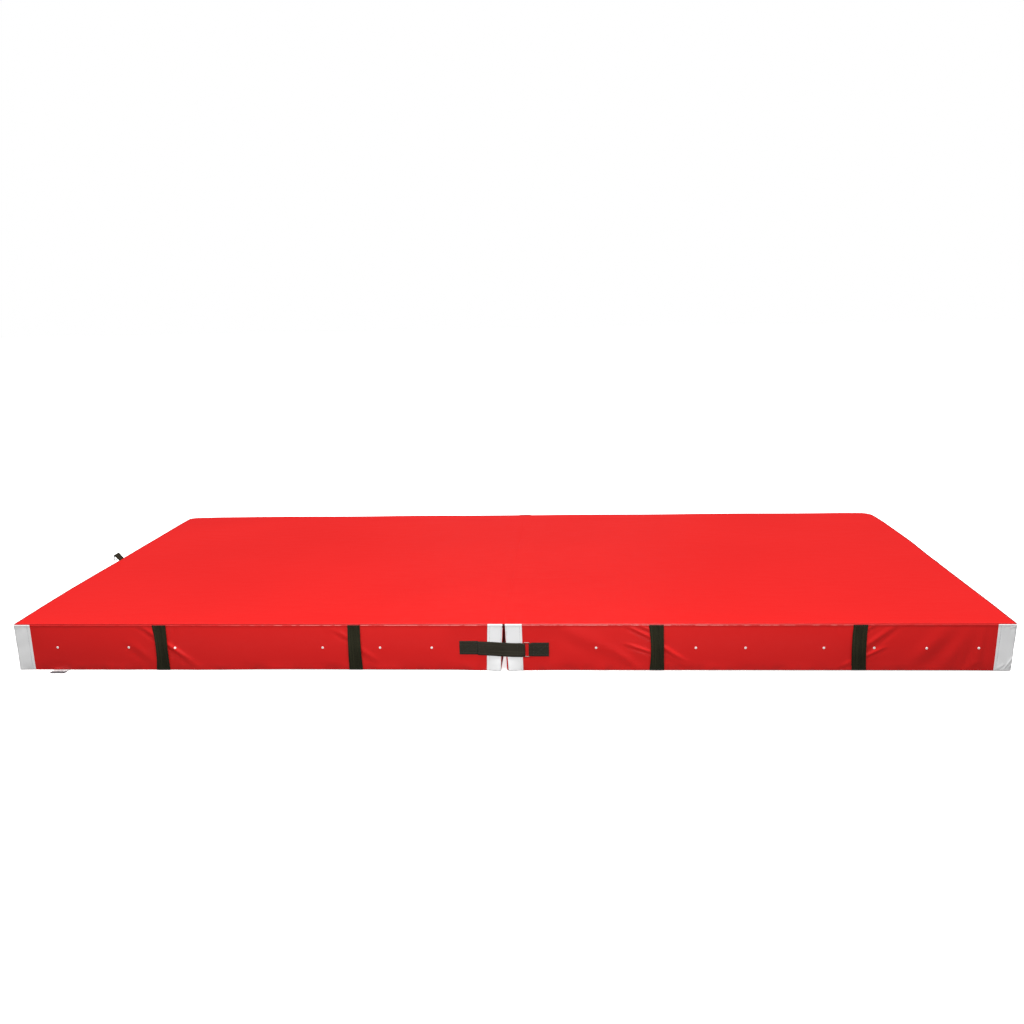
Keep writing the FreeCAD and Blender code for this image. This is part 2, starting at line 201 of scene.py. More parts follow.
def crease(along, z, place, height_at, angle, long, wide, high):
    """A soft ridge with a valley under it."""
    c, s = math.cos(math.radians(angle)), math.sin(math.radians(angle))
    du, dz = along - place, z - height_at
    t, off = (du * c + dz * s) / (long / 2), (-du * s + dz * c) / (wide * MM)
    reach = np.clip(1 - t * t, 0, 1) ** 1.5
    return high * MM * reach * (np.exp(-off ** 2) - 0.7 * np.exp(-(off + 1.7) ** 2))


# ---- the cover's surface ----
def wall_creases(side, wall):
    """The creases on one long wall of one half. The back wall has its own, of the same kind."""
    if wall < 0:
        return [c for c in FRONT_CREASES if c[0] * side > 0]
    draw = random.Random(40 + side)
    found = []
    for distance in HANDLES.values():
        for _ in range(5):
            place = side * (distance + draw.uniform(-0.13, 0.13))
            found.append((place, draw.uniform(0.03, 0.17), draw.choice((-1, 1)) * draw.uniform(22, 48),
                          draw.uniform(0.12, 0.26), draw.uniform(10, 20), draw.uniform(1.4, 3.0)))
    return found


def fullness(z):
    """0 at the floor and the top, 1 at mid height."""
    return np.sin(math.pi * np.clip(z / THICK, 0, 1)) ** 0.8


def simulated_slack(side, wall):
    """Fabric of a long wall, a little too large for its seams and pressed out by the foam: a cloth
    simulation of a sheet held at its edges. Gives how far it stands out, over u and z."""
    us = np.linspace(SLACK_START, SLACK_END, 236)
    zs = np.linspace(SLACK_LOW, SLACK_HIGH, 24)
    draw = np.random.default_rng(50 + 2 * side + wall)
    u, z = np.meshgrid(us, zs)
    uneven = -0.4 * MM * draw.random(u.shape)
    piece = new_piece("slack", xyz(u, z, uneven), quads(len(zs), len(us)), [])
    border = (u == us[0]) | (u == us[-1]) | (z == zs[0]) | (z == zs[-1])
    piece.vertex_groups.new(name="seams").add(np.flatnonzero(border.ravel()).tolist(), 1.0, "REPLACE")
    cloth = piece.modifiers.new("slack", "CLOTH")
    for setting, value in CLOTH.items():
        setattr(cloth.settings, setting, value)
    cloth.settings.effector_weights.gravity = 0.35
    cloth.settings.vertex_group_mass = "seams"
    cloth.collision_settings.use_collision = False
    for number in range(1, CLOTH_FRAMES + 1):
        bpy.context.scene.frame_set(number)
    shaped = piece.evaluated_get(bpy.context.evaluated_depsgraph_get()).to_mesh()
    places = np.empty(3 * len(shaped.vertices))
    shaped.vertices.foreach_get("co", places)
    out = -places.reshape(len(zs), len(us), 3)[:, :, 2]
    sheet = piece.data
    bpy.data.objects.remove(piece)
    bpy.data.meshes.remove(sheet)
    bpy.context.scene.frame_set(1)
    for _ in range(2):
        for axis in (0, 1):
            out = 0.5 * out + 0.25 * (np.roll(out, 1, axis) + np.roll(out, -1, axis))
    out[0] = out[-1] = 0
    out[:, 0] = out[:, -1] = 0
    return us, zs, np.clip(0.6 * out, 0, 5 * MM)


def slack_at(side, wall, u, z):
    if (side, wall) not in slack_grids:
        swell = waves(10 + side + 5 * wall, u, z, (0.62, 0.31, 0.17), np.array((0.9, 0.6, 0.45)) * MM)
        return fullness(z) * (BULGE + swell)
    us, zs, out = slack_grids[side, wall]
    a = np.clip((u - us[0]) / (us[1] - us[0]), 0, len(us) - 1.001)
    b = np.clip((z - zs[0]) / (zs[1] - zs[0]), 0, len(zs) - 1.001)
    i, j = a.astype(int), b.astype(int)
    a, b = a - i, b - j
    low = out[j, i] * (1 - a) + out[j, i + 1] * a
    high = out[j + 1, i] * (1 - a) + out[j + 1, i + 1] * a
    return low * (1 - b) + high * b


def long_wall_relief(side, wall, u, z):
    """How far a long wall stands out from its plane. It is flat beside the fold, under the strap, and
    its creases are low under the handles."""
    held = smooth(0.19, 0.25, u) * fade(HALF - 0.10, HALF - 0.04, u)
    relief = held * slack_at(side, wall, u, z)
    covered = 0
    for place, distance in HANDLES.items():
        offset = HANDLE_SET[side, place][0][1] if wall < 0 else 0
        covered = covered + np.exp(-((u - distance - side * offset * MM) / 0.027) ** 4)
    free = (1 - 0.85 * covered) * fullness(z) ** 0.5
    for x, height_at, angle, long, wide, high in wall_creases(side, wall):
        relief = relief + crease(side * u, z, x, height_at, angle, long, wide, high) * free
    ripple = waves(120 + side + 2 * wall, u, z, (0.41, 0.16, 0.075), np.array((1.3, 0.9, 0.5)) * MM)
    relief = relief + ripple * fade(0, 0.045, z) * smooth(0.08, 0.16, u)
    return relief + seam_pucker(side + 2 * wall, u, z) * smooth(0.02, 0.06, u)


def end_wall_relief(side, y, z):
    """The outer end wall. The zip keeps it flat low down."""
    free = smooth(ZIP_HIGH, ZIP_HIGH + 0.05, z) * fade(REACH - 0.12, REACH - 0.03, np.abs(y))
    slack = waves(30 + side, y, z, (0.7, 0.33, 0.19, 0.1), np.array((0.8, 0.5, 0.4, 0.25)) * MM)
    return fullness(z) * free * (2.2 * MM + slack) + seam_pucker(7 + side, y, z)


def seam_pucker(seed, along, z):
    """The gathers of the sewn lip under the top edge, which die out down the wall."""
    strength = 0.5 + 0.5 * waves(60 + seed, along, 0, (0.37, 0.21), (0.55, 0.45))
    gather = waves(80 + seed, along, 0, (0.029, 0.047), (0.6 * MM, 0.4 * MM))
    return gather * strength * smooth(0.150, 0.190, z) * fade(0.1955, 0.1975, z)


def out_of_true(side, u, y, z):
    """How far an outer end stands out beyond its nominal place. The zip keeps its part in line."""
    zipped = fade(ZIP_HIGH + 4 * MM, ZIP_HIGH + 0.055, z) * fade(0.90, 0.97, np.abs(y))
    at_top = looked_up(END_TOP[side], y) * MM
    at_floor = END_FLOOR[side] * fade(-REACH, 0.4, y)
    level = at_floor + (at_top - at_floor) * z / THICK
    return level * (1 - zipped) * smooth(HALF - 0.16, HALF, u)


def top_drop(side, u, y):
    """How far the top lies below its highest level."""
    edge = np.minimum(HALF - u, REACH - np.abs(y))
    drop = EDGE_DROP * fade(0, 0.16, edge)
    near_back = fade(0, 0.30, REACH - y)
    back_wave = 0.7 * MM * (1 + np.sin(2 * math.pi * u / 0.83 + 1.1 + side)) * near_back
    corner = np.hypot(HALF - u, REACH - y)
    sag = CORNER_SAG[side] * fade(0.0, 0.20, corner)
    calm = 0.25 * MM * (1 + waves(3 + side, u, y, (1.3, 0.7), (0.5, 0.5)))
    return drop + back_wave + sag + calm


def cover_surface(side, u, y, z, proud=0.0):
    """Points of one half's cover.

    u, y and z lie on or in a sharp-edged box. proud lifts the point off the wall."""
    u, y, z, proud = np.broadcast_arrays(*(np.asarray(v, float) for v in (u, y, z, proud)))
    mid = HALF / 2
    v = u - mid
    radius = np.where(v < 0, R_FOLD, np.where(y < 0, R_FRONT, R_BACK[side]))
    dv = np.clip(np.abs(v) - (mid - radius), 0, None)
    dy = np.clip(np.abs(y) - (REACH - radius), 0, None)
    length = np.maximum(np.hypot(dv, dy), 1e-12)
    to_arc = np.maximum(dv, dy) / length
    out_v, out_y = np.sign(v) * dv / length, np.sign(y) * dy / length

    edge = np.minimum(mid - np.abs(v), REACH - np.abs(y))
    on_wall = fade(0, 6 * MM, edge)
    wall = np.where(y < 0, -1, 1)
    long_relief = np.where(wall < 0, long_wall_relief(side, -1, u, z), long_wall_relief(side, 1, u, z))
    end_relief = np.where(v > 0, end_wall_relief(side, y, z), 0)
    out = on_wall * (out_y ** 2 * long_relief + out_v ** 2 * end_relief) + proud

    u = mid + np.sign(v) * (np.minimum(np.abs(v), mid - radius) + dv * to_arc) + out_v * out
    y = np.sign(y) * (np.minimum(np.abs(y), REACH - radius) + dy * to_arc) + out_y * out
    lean = GAP_FLOOR + (GAP_TOP - GAP_NARROWER[side] - GAP_FLOOR) * z / THICK
    x = side * (u + lean * fade(0, 0.15, u) + out_of_true(side, u, y, z))
    lift = looked_up(FOOT_LIFT[side], u) * MM * fade(0, 0.02, REACH + y)
    z = z + lift * fade(0, 0.03, z) - top_drop(side, u, y) * z / THICK
    return xyz(x, y, z)


# ---- mesh helpers ----
def in_scene(name, data):
    """A new object for a mesh, a light or a camera."""
    piece = bpy.data.objects.new(name, data)
    bpy.context.scene.collection.objects.link(piece)
    return piece


def new_piece(name, points, faces, materials, weave=None, face_materials=None):
    """A smooth-shaded mesh. weave is where each point lies on its webbing: across, along."""
    mesh = bpy.data.meshes.new(name)
    mesh.from_pydata(np.asarray(points, float).reshape(-1, 3).tolist(), [], faces)
    for material in materials:
        mesh.materials.append(material)
    if face_materials is not None:
        mesh.polygons.foreach_set("material_index", face_materials)
    if weave is not None:
        layer = mesh.attributes.new("weave", "FLOAT_VECTOR", "POINT")
        layer.data.foreach_set("vector", np.asarray(weave, np.float32).ravel())
    edit = bmesh.new()
    edit.from_mesh(mesh)
    bmesh.ops.recalc_face_normals(edit, faces=edit.faces)
    edit.to_mesh(mesh)
    edit.free()
    mesh.shade_smooth()
    return in_scene(name, mesh)


def quads(rows, columns, closed=False, start=0):
    """Faces of a grid of points, row by row. closed joins the last column to the first."""
    faces = []
    for i in range(rows - 1):
        for j in range(columns if closed else columns - 1):
            k = (j + 1) % columns
            a, b = start + i * columns, start + (i + 1) * columns
            faces.append((a + j, b + j, b + k, a + k))
    return faces


def put(piece, body, slot, *nodes):
    """Rides on a body and stands for CAD nodes, which it hides. slot is not used."""
    if nodes:
        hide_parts(*nodes)
    if body:
        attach(piece, body)


# ---- materials ----
class Finish:
    """A node material round one Principled shader, with short ways to add and join nodes."""

    def __init__(self, name, metallic=0.0, specular=0.3, sheen=0.0):
        self.material = bpy.data.materials.new(name)
        self.material.use_nodes = True
        self.tree = self.material.node_tree
        self.shader = self.tree.nodes["Principled BSDF"]
        for socket, value in (("Metallic", metallic), ("Specular IOR Level", specular),
                              ("Sheen Weight", sheen)):
            self.shader.inputs[socket].default_value = value
        self.place = self.tree.nodes.new("ShaderNodeTexCoord").outputs["Object"]

    def add(self, kind, settings=None, **inputs):
        node = self.tree.nodes.new("ShaderNode" + kind)
        for key, value in (settings or {}).items():
            setattr(node, key, value)
        for key, value in inputs.items():
            self.join(node.inputs[key.replace("_", " ")], value)
        return node

    def join(self, socket, value):
        if isinstance(value, bpy.types.NodeSocket):
            self.tree.links.new(value, socket)
        else:
            socket.default_value = value

    def maths(self, operation, *values):
        node = self.tree.nodes.new("ShaderNodeMath")
        node.operation = operation
        for socket, value in zip(node.inputs, values):
            self.join(socket, value)
        return node.outputs[0]

    def ripple(self, value, length):
        return self.maths("SINE", self.maths("MULTIPLY", value, 2 * math.pi / length))

    def stretched(self, vector, scale):
        return self.add("Mapping", Vector=vector, Scale=scale).outputs[0]

    def noise(self, scale, detail=2.0, vector=None):
        node = self.add("TexNoise", Vector=vector or self.place, Scale=scale, Detail=detail)
        return node.outputs["Fac"]

    def between(self, value, low, high, to_low, to_high):
        node = self.add("MapRange", Value=value)
        for socket, number in zip(list(node.inputs)[1:5], (low, high, to_low, to_high)):
            socket.default_value = number
        return node.outputs[0]

    def mixed(self, share, first, second):
        node = self.add("MixRGB", Fac=share)
        self.join(node.inputs["Color1"], first)
        self.join(node.inputs["Color2"], second)
        return node.outputs[0]

    def split(self, vector):
        return self.add("SeparateXYZ", Vector=vector).outputs

    def bump(self, height, strength, distance, under=None):
        node = self.add("Bump", Height=height, Strength=strength, Distance=distance)
        if under is not None:
            self.join(node.inputs["Normal"], under)
        return node.outputs[0]

    def done(self, colour, roughness, normal):
        self.join(self.shader.inputs["Base Color"], colour)
        self.join(self.shader.inputs["Roughness"], roughness)
        self.join(self.shader.inputs["Normal"], normal)
        return self.material


def rgb(red, green, blue):
    return (red, green, blue, 1.0)


def vinyl(name, main, deep, rough, dirt_and_seam_shade, edge, specular):
    """PVC-coated fabric: fine leather grain over a woven scrim, soft marks and a little floor dirt, with
    painted shade in the seams' grooves and on the marked rims, and a painted highlight, partly rubbed wear,
    on the seams' lips."""
    f = Finish(name, specular=specular)
    tone = f.between(f.noise(1.6, 3), 0.35, 0.65, 0, 1)
    colour = f.mixed(tone, main, deep)
    dirt_height = f.between(f.split(f.place)[2], 0.0, 0.035, 1, 0)
    dirt = f.maths("MULTIPLY", dirt_height, f.between(f.noise(22, 5), 0.42, 0.75, 0, 0.55))
    colour = f.mixed(dirt, colour, dirt_and_seam_shade)
    scuffs = f.noise(9, 6, f.stretched(f.place, (1.0, 3.5, 5.0)))
    seam = f.add("Attribute", {"attribute_name": "seam"}).outputs["Fac"]
    # painted shade: the seam's groove and the marked top rims darken towards the third colour
    colour = f.mixed(f.between(seam, -1.6, 0, 1, 0), colour, dirt_and_seam_shade)
    # painted highlight on the lips' crests, broken into dashes by noise, partly rubbed wear
    worn = f.maths("MULTIPLY", f.between(f.noise(34, 2), 0.44, 0.56, 0.15, 1),
                   f.between(seam, 0.05, 0.85, 0, 1))
    colour = f.mixed(worn, colour, edge)
    roughness = f.maths("ADD", f.between(scuffs, 0.3, 0.7, rough - 0.012, rough + 0.020),
                        f.maths("MULTIPLY", dirt, 0.25))
    grain = f.add("TexVoronoi", {"feature": "DISTANCE_TO_EDGE"}, Vector=f.place, Scale=650.0).outputs[0]
    threads = [f.ripple(axis, 1.5 * MM) for axis in f.split(f.place)]
    scrim = f.maths("ADD", f.maths("ADD", threads[0], threads[1]), threads[2])
    normal = f.bump(f.noise(38, 3), 0.12, 1.0 * MM)
    normal = f.bump(scrim, 0.06, 0.08 * MM, normal)
    normal = f.bump(grain, 0.16, 0.12 * MM, normal)
    return f.done(colour, roughness, normal)


def antislip():
    """Charcoal base fabric with rows of small raised dots, scuffed by the floor."""
    f = Finish("antislip_base", specular=0.2)
    turned = f.add("Mapping", Vector=f.place, Rotation=(0, 0, math.radians(45))).outputs[0]
    across, along, _ = f.split(turned)
    dots = f.maths("MULTIPLY", f.ripple(across, 7 * MM), f.ripple(along, 7 * MM))
    dots = f.between(dots, 0.25, 0.6, 0, 1)
    colour = f.mixed(dots, rgb(0.020, 0.020, 0.021), rgb(0.045, 0.045, 0.047))
    wear = f.between(f.noise(5, 5), 0.45, 0.8, 0, 0.2)
    colour = f.mixed(wear, colour, rgb(0.11, 0.105, 0.10))
    normal = f.bump(dots, 0.7, 0.6 * MM, f.bump(f.noise(900, 2), 0.2, 0.2 * MM))
    return f.done(colour, f.between(dots, 0, 1, 0.82, 0.62), normal)


def webbing(name, dark, light, pick=2.4, rib=1.5):
    """Woven strap: staggered yarns along its length, ribs across it, fuzz, and paler lengthwise streaks
    where it has been folded."""
    f = Finish(name, specular=0.06, sheen=0.04)
    place = f.add("Attribute", {"attribute_name": "weave"}).outputs["Vector"]
    across, along, _ = f.split(place)
    turned = f.add("CombineXYZ", X=along, Y=across).outputs[0]
    yarn = f.add("TexBrick", {"offset": 0.5}, Vector=f.stretched(turned, (1000, 1000, 1000)), Scale=1.0,
                 Color1=light, Color2=dark, Mortar=rgb(*(0.35 * c for c in dark[:3])), Mortar_Size=0.22,
                 Mortar_Smooth=0.8, Brick_Width=pick, Row_Height=rib)
    ribs = f.ripple(across, 2 * rib * MM)
    fuzz = f.noise(1500, 2)
    streaks = f.noise(1.0, 2, f.stretched(place, (130, 3, 1)))
    worn = f.between(f.noise(12, 5), 0.4, 0.75, 0, 0.5)
    colour = f.mixed(worn, yarn.outputs["Color"], light)
    colour = f.mixed(f.between(streaks, 0.54, 0.72, 0, 0.4), colour, rgb(*(1.8 * c for c in light[:3])))
    height = f.maths("SUBTRACT", f.maths("MULTIPLY", ribs, 0.3), yarn.outputs["Fac"])
    normal = f.bump(height, 0.8, 0.35 * MM, f.bump(fuzz, 0.3, 0.2 * MM))
    return f.done(colour, f.between(fuzz, 0.3, 0.7, 0.72, 0.92), normal)


def metal(name, bright, dull, rough, grit, metallic=1.0):
    """Plated metal: fine drawn scratches, handling marks and slightly uneven plating."""
    f = Finish(name, metallic=metallic)
    marks = f.noise(grit, 4)
    scratches = f.noise(420, 3, f.stretched(f.place, (1.0, 9.0, 1.0)))
    colour = f.mixed(f.between(marks, 0.4, 0.75, 0, 1), bright, dull)
    roughness = f.maths("ADD", f.between(marks, 0.3, 0.7, rough - 0.06, rough + 0.10),
                        f.between(scratches, 0.4, 0.7, 0, 0.08))
    return f.done(colour, roughness, f.bump(scratches, 0.12, 0.05 * MM))


def plastic(name, main, light, rough):
    """Moulded or extruded plastic with a faint mottle."""
    f = Finish(name, specular=0.45)
    mottle = f.noise(260, 3)
    colour = f.mixed(f.between(mottle, 0.35, 0.7, 0, 1), main, light)
    return f.done(colour, f.between(mottle, 0.3, 0.7, rough - 0.05, rough + 0.08),
                  f.bump(mottle, 0.15, 0.08 * MM))


def thread(name, main, light):
    """Twisted sewing thread."""
    f = Finish(name, specular=0.3, sheen=0.2)
    strands = f.noise(1400, 2, f.stretched(f.place, (1.0, 1.0, 0.4)))
    colour = f.mixed(f.between(strands, 0.35, 0.65, 0, 1), main, light)
    return f.done(colour, f.between(strands, 0.3, 0.7, 0.55, 0.75), f.bump(strands, 0.5, 0.15 * MM))


# its third colour is floor dirt and also the painted shade of the seams' grooves and rims; its fourth is a
# painted highlight, partly rubbed wear, on the seams' lips
RED = vinyl("red_vinyl", rgb(0.70, 0.0132, 0.0122), rgb(0.68, 0.0120, 0.0112), 0.30,
            rgb(0.30, 0.012, 0.012), rgb(0.95, 0.29, 0.26), 0.28)
WHITE = vinyl("white_vinyl", rgb(0.88, 0.88, 0.88), rgb(0.85, 0.85, 0.855), 0.38,
              rgb(0.42, 0.41, 0.40), rgb(0.95, 0.95, 0.95), 0.35)
BASE = antislip()
BLACK_WEB = webbing("black_webbing", rgb(0.0180, 0.0175, 0.0092), rgb(0.033, 0.0318, 0.0170))
STRAP = webbing("strap_webbing", rgb(0.0285, 0.0260, 0.0180), rgb(0.0460, 0.0415, 0.0310))
BROWN_WEB = webbing("brown_webbing", rgb(0.060, 0.030, 0.024), rgb(0.10, 0.055, 0.045))
TAPE = webbing("zip_tape", rgb(0.016, 0.016, 0.017), rgb(0.03, 0.03, 0.032), pick=1.6, rib=0.8)
LABEL = webbing("label_cloth", rgb(0.11, 0.11, 0.12), rgb(0.20, 0.20, 0.21), pick=0.9, rib=0.5)
LABEL_HEM = webbing("label_hem", rgb(0.82, 0.82, 0.82), rgb(0.92, 0.92, 0.92), pick=0.9, rib=0.5)
# its pink tint paints the red cover's reflection into the rings' colour
STEEL_PAINTED_RED_REFLECTION = metal("ring_steel", rgb(0.46, 0.29, 0.27), rgb(0.34, 0.22, 0.20), 0.48, 60)
DARK_STEEL = metal("dark_ring_steel", rgb(0.006, 0.006, 0.005), rgb(0.015, 0.015, 0.013), 0.60, 60,
                   metallic=0.3)
# near white with a pink tint on a barely metallic finish: painted reflection standing in for the shine of
# metal eyelets
EYELET_PAINTED_SHINE = metal("eyelet_metal", rgb(1.0, 0.93, 0.91), rgb(0.93, 0.86, 0.84), 0.28, 90, metallic=0.05)
ZIP_METAL = metal("zip_metal", rgb(0.42, 0.42, 0.43), rgb(0.26, 0.26, 0.27), 0.34, 80)
NYLON = plastic("zip_teeth", rgb(0.015, 0.015, 0.016), rgb(0.035, 0.035, 0.037), 0.38)
# painted shade: the dark disc inside each vent eyelet
VENT_PAINTED_SHADE = plastic("vent_painted_shade", rgb(0.02, 0.006, 0.006), rgb(0.035, 0.01, 0.01), 0.8)
RED_THREAD = thread("red_thread", rgb(0.55, 0.010, 0.012), rgb(0.85, 0.03, 0.03))
GREY_THREAD = thread("grey_thread", rgb(0.10, 0.11, 0.11), rgb(0.24, 0.25, 0.25))
BLACK_THREAD = thread("black_thread", rgb(0.008, 0.008, 0.007), rgb(0.03, 0.03, 0.026))


# ---- the padded halves ----
def perimeter(lines_u, lines_y):
    """Once round a rectangle: along the front, the outer end, the back and the fold."""
    u = np.concatenate([lines_u[:-1], np.full(len(lines_y) - 1, lines_u[-1]),
                        lines_u[:0:-1], np.full(len(lines_y) - 1, lines_u[0])])
    y = np.concatenate([np.full(len(lines_u) - 1, lines_y[0]), lines_y[:-1],
                        np.full(len(lines_u) - 1, lines_y[-1]), lines_y[:0:-1]])
    return u, y


def inset_lines(lines_u, lines_y, inset):
    return inset + lines_u * (HALF - 2 * inset) / HALF, lines_y * (REACH - inset) / REACH


def under_strip(u, z):
    """The cover drops a little beside the fold, where the bending fabric lies over it."""
    return z - 1.6 * MM * fade(0.014, 0.028, u) * (z > THICK / 2)


def padded_half(side):
    """Foam block in its cover, as one closed crowned form: fine at the edge, coarser inside."""
    half = HALVES[side]
    spots_u = [(0, 0.04, 3), (HALF, 0.05, 3)] + [(d, 0.10, 1.5) for d in HANDLES.values()]
    spots_y = [(-REACH, 0.05, 3), (REACH, 0.05, 3)]
    lines_u = spread(0, HALF, COLUMNS_LONG, spots_u)
    lines_y = spread(-REACH, REACH, COLUMNS_END, spots_y)
    wall_heights = np.linspace(TOP_EDGE[-1][1], FLOOR_EDGE[0][1], WALL_ROWS + 1)[1:-1]
    rows = TOP_EDGE + [(0.0, z, 0) for z in wall_heights] + FLOOR_EDGE
    points = []
    for inset, z, _ in rows:
        u, y = perimeter(*inset_lines(lines_u, lines_y, max(inset, 0) * MM))
        points.append(cover_surface(side, u, y, under_strip(u, z * MM), max(-inset, 0) * MM))
    around = len(points[0])
    faces = quads(len(rows), around, closed=True)
    points = list(np.concatenate(points))

    grid_u, grid_y = inset_lines(lines_u[::COARSE], lines_y[::COARSE], COARSE_INSET)
    wide, deep = len(grid_u), len(grid_y)
    loop = list(range(wide - 1)) + [(i + 1) * wide - 1 for i in range(deep - 1)]
    loop += [deep * wide - 1 - j for j in range(wide - 1)] + [(deep - 1 - i) * wide for i in range(deep - 1)]
    base_faces = []
    for z, row in ((THICK, 0), (0.0, len(rows) - 1)):
        start = len(points)
        u, y = np.meshgrid(grid_u, grid_y)
        points += list(cover_surface(side, u, y, z).reshape(-1, 3))
        inside = quads(deep, wide, start=start)
        for k in range(len(loop)):
            fine = [row * around + (COARSE * k + m) % around for m in range(COARSE + 1)]
            inside.append([start + loop[k], start + loop[(k + 1) % len(loop)]] + fine[::-1])
        if z == 0.0:
            base_faces = range(len(faces), len(faces) + len(inside))
        faces += inside
    # the base fabric also has the last rows at the floor, up to its seam
    flat_rows = 3
    edge_start = (len(rows) - 1 - flat_rows) * around
    which = np.zeros(len(faces), int)
    which[list(base_faces)] = 1
    which[edge_start:(len(rows) - 1) * around] = 1
    piece = new_piece(f"{half}_cover", points, faces, [RED, BASE], face_materials=which)
    # The seam attribute: below 0 it paints shade into the grooves and along the ends' and back's top rims,
    # above 0 a painted highlight, partly rubbed wear, on the lips.
    seam = np.zeros(len(points), np.float32)
    part = np.array([part for _, _, part in rows])[:, None]
    u, y = perimeter(lines_u, lines_y)
    part = np.where(part > 0, part * looked_up(LIP_HIGHLIGHT_AND_WEAR[side], u), part)
    rim = np.array([z > 195 and inset < 8 for inset, z, _ in rows])[:, None]
    part[rim & ((u > HALF - 1 * MM) | (y > REACH - 1 * MM))] = RIM_PAINTED_SHADE
    seam[:len(rows) * around] = part.ravel()
    piece.data.attributes.new("seam", "FLOAT", "POINT").data.foreach_set("value", seam)
    put(piece, f"{half}_half", "red_vinyl", *(f"{half}_{part}" for part in (
        "foam_core", "top_panel", "bottom_panel", "front_wall", "back_wall", "end_wall", "fold_wall")))


def corner_path(side_u, wall, long_leg, round_leg, step=2.2 * MM):
    """Box points round one upright corner: along the long wall, then round onto the end."""
    corner_u = HALF if side_u > 0 else 0.0
    run = np.linspace(-long_leg, round_leg, round((long_leg + round_leg) / step) + 1)
    u = corner_u - side_u * np.clip(-run, 0, None)
    y = wall * (REACH - np.clip(run, 0, None))
    return u, y, run


def corner_piece(side, wall, place):
    """White reinforcement: a hemmed sheet of vinyl that wraps one upright corner. Gives the lines of its
    stitches."""
    side_u, round_leg, crown = (1, OUTER_STRIP, 196.4) if place == "outer" else (-1, -1.5 * MM, 198.9)
    u, y, run = corner_path(side_u, wall, STRIPS[side, place], round_leg)
    heights = np.concatenate([np.linspace(crown, 187, 9), np.linspace(182.5, 12, 38),
                              [8.0, 5.0, 2.6, 1.1]]) * MM
    lip_at, under_lip = 0.1943, 0.186       # heights of the lip it covers and the wall just below
    hem = np.minimum(run - run[0], run[-1] - run)
    sewn = 0.9 + 0.5 * smooth(0, 3 * MM, hem) - 0.45 * bell(hem, 10 * MM, 1.6 * MM)

    def trim(z):
        """Inner strips end short of the fold's edge near the floor, which leaves a red edge."""
        short = TRIM[side] if place == "inner" else 0.0
        return short * fade(0.02, 0.14, z) * (run - run[0]) / (run[-1] - run[0])

    grid = []
    for z in heights:
        slack = waves(90 + side + 3 * wall + 7 * side_u, run + z, z, (0.13, 0.07), (0.25, 0.1))
        slack = slack * smooth(0, 0.012, hem)
        if place == "inner":
            flare = 6.5 * fade(0.0, 0.082, z) * smooth(-0.068, 0, run)
        else:
            flare = 1.2 * fade(0.0, 0.07, z) * bell(run, 0.01, 0.03)
        lip = 1.5 * bell(z, lip_at, 2.2 * MM) - 0.5 * bell(z, under_lip, 2.5 * MM)
        if (side, wall, place) == (1, -1, "outer"):
            folds = [crease(run, z, *one) / MM for one in CORNER_CREASES]
            slack = slack + sum(folds) * smooth(0, 0.006, hem)
        out = (sewn + slack + flare + lip) * MM
        inset = 1.2 * MM * fade(0, 3.5 * MM, z) + 0.9 * MM * smooth(0.1965, 0.199, z)
        grid.append(cover_surface(side, u + trim(z), y, z, out - inset))
    back = [cover_surface(side, u + trim(z), y, z, -1.2 * MM) for z in heights]
    points = np.concatenate(grid + back[::-1])
    rows, columns = 2 * len(heights), len(u)
    faces = quads(rows, columns)
    faces += [((rows - 1) * columns + j, j, j + 1, (rows - 1) * columns + j + 1)
              for j in range(columns - 1)]
    for j in (0, columns - 1):
        faces.append([i * columns + j for i in range(rows)])
    node = f"{HALVES[side]}_{WALLS[wall]}_{place}_corner"
    piece = new_piece(f"{node}_vinyl", points, faces, [WHITE])
    put(piece, f"{HALVES[side]}_half", "white_vinyl", node)

    lines = []
    for at in (run[0] + 10 * MM, run[-1] - 6 * MM):
        z = np.linspace(0.190, 0.006, 60)
        line_u, line_y = (np.interp(np.full(len(z), at), run, values) for values in (u, y))
        on = cover_surface(side, line_u, line_y, z, 1.05 * MM)
        lines.append((on, on - cover_surface(side, line_u, line_y, z, 0.0)))
    return lines


# ---- stitches ----
SMALL_STITCH = {"pitch": 4.2 * MM, "long": 3.2 * MM}


def stitch_shape(long, radius):
    """One stitch along X with Z up: a thread that arches out of the fabric."""
    stations = [(-0.5, 0.35, -0.9), (-0.36, 0.9, -0.1), (0, 1, 0.25), (0.36, 0.9, -0.1), (0.5, 0.35, -0.9)]
    sides = 6
    points = [(s * long, radius * r * math.cos(2 * math.pi * k / sides),
               radius * (lift + r * math.sin(2 * math.pi * k / sides)))
              for s, r, lift in stations for k in range(sides)]
    faces = quads(len(stations), sides, closed=True)
    faces += [list(range(sides)), list(range((len(stations) - 1) * sides, len(stations) * sides))]
    return np.array(points), faces


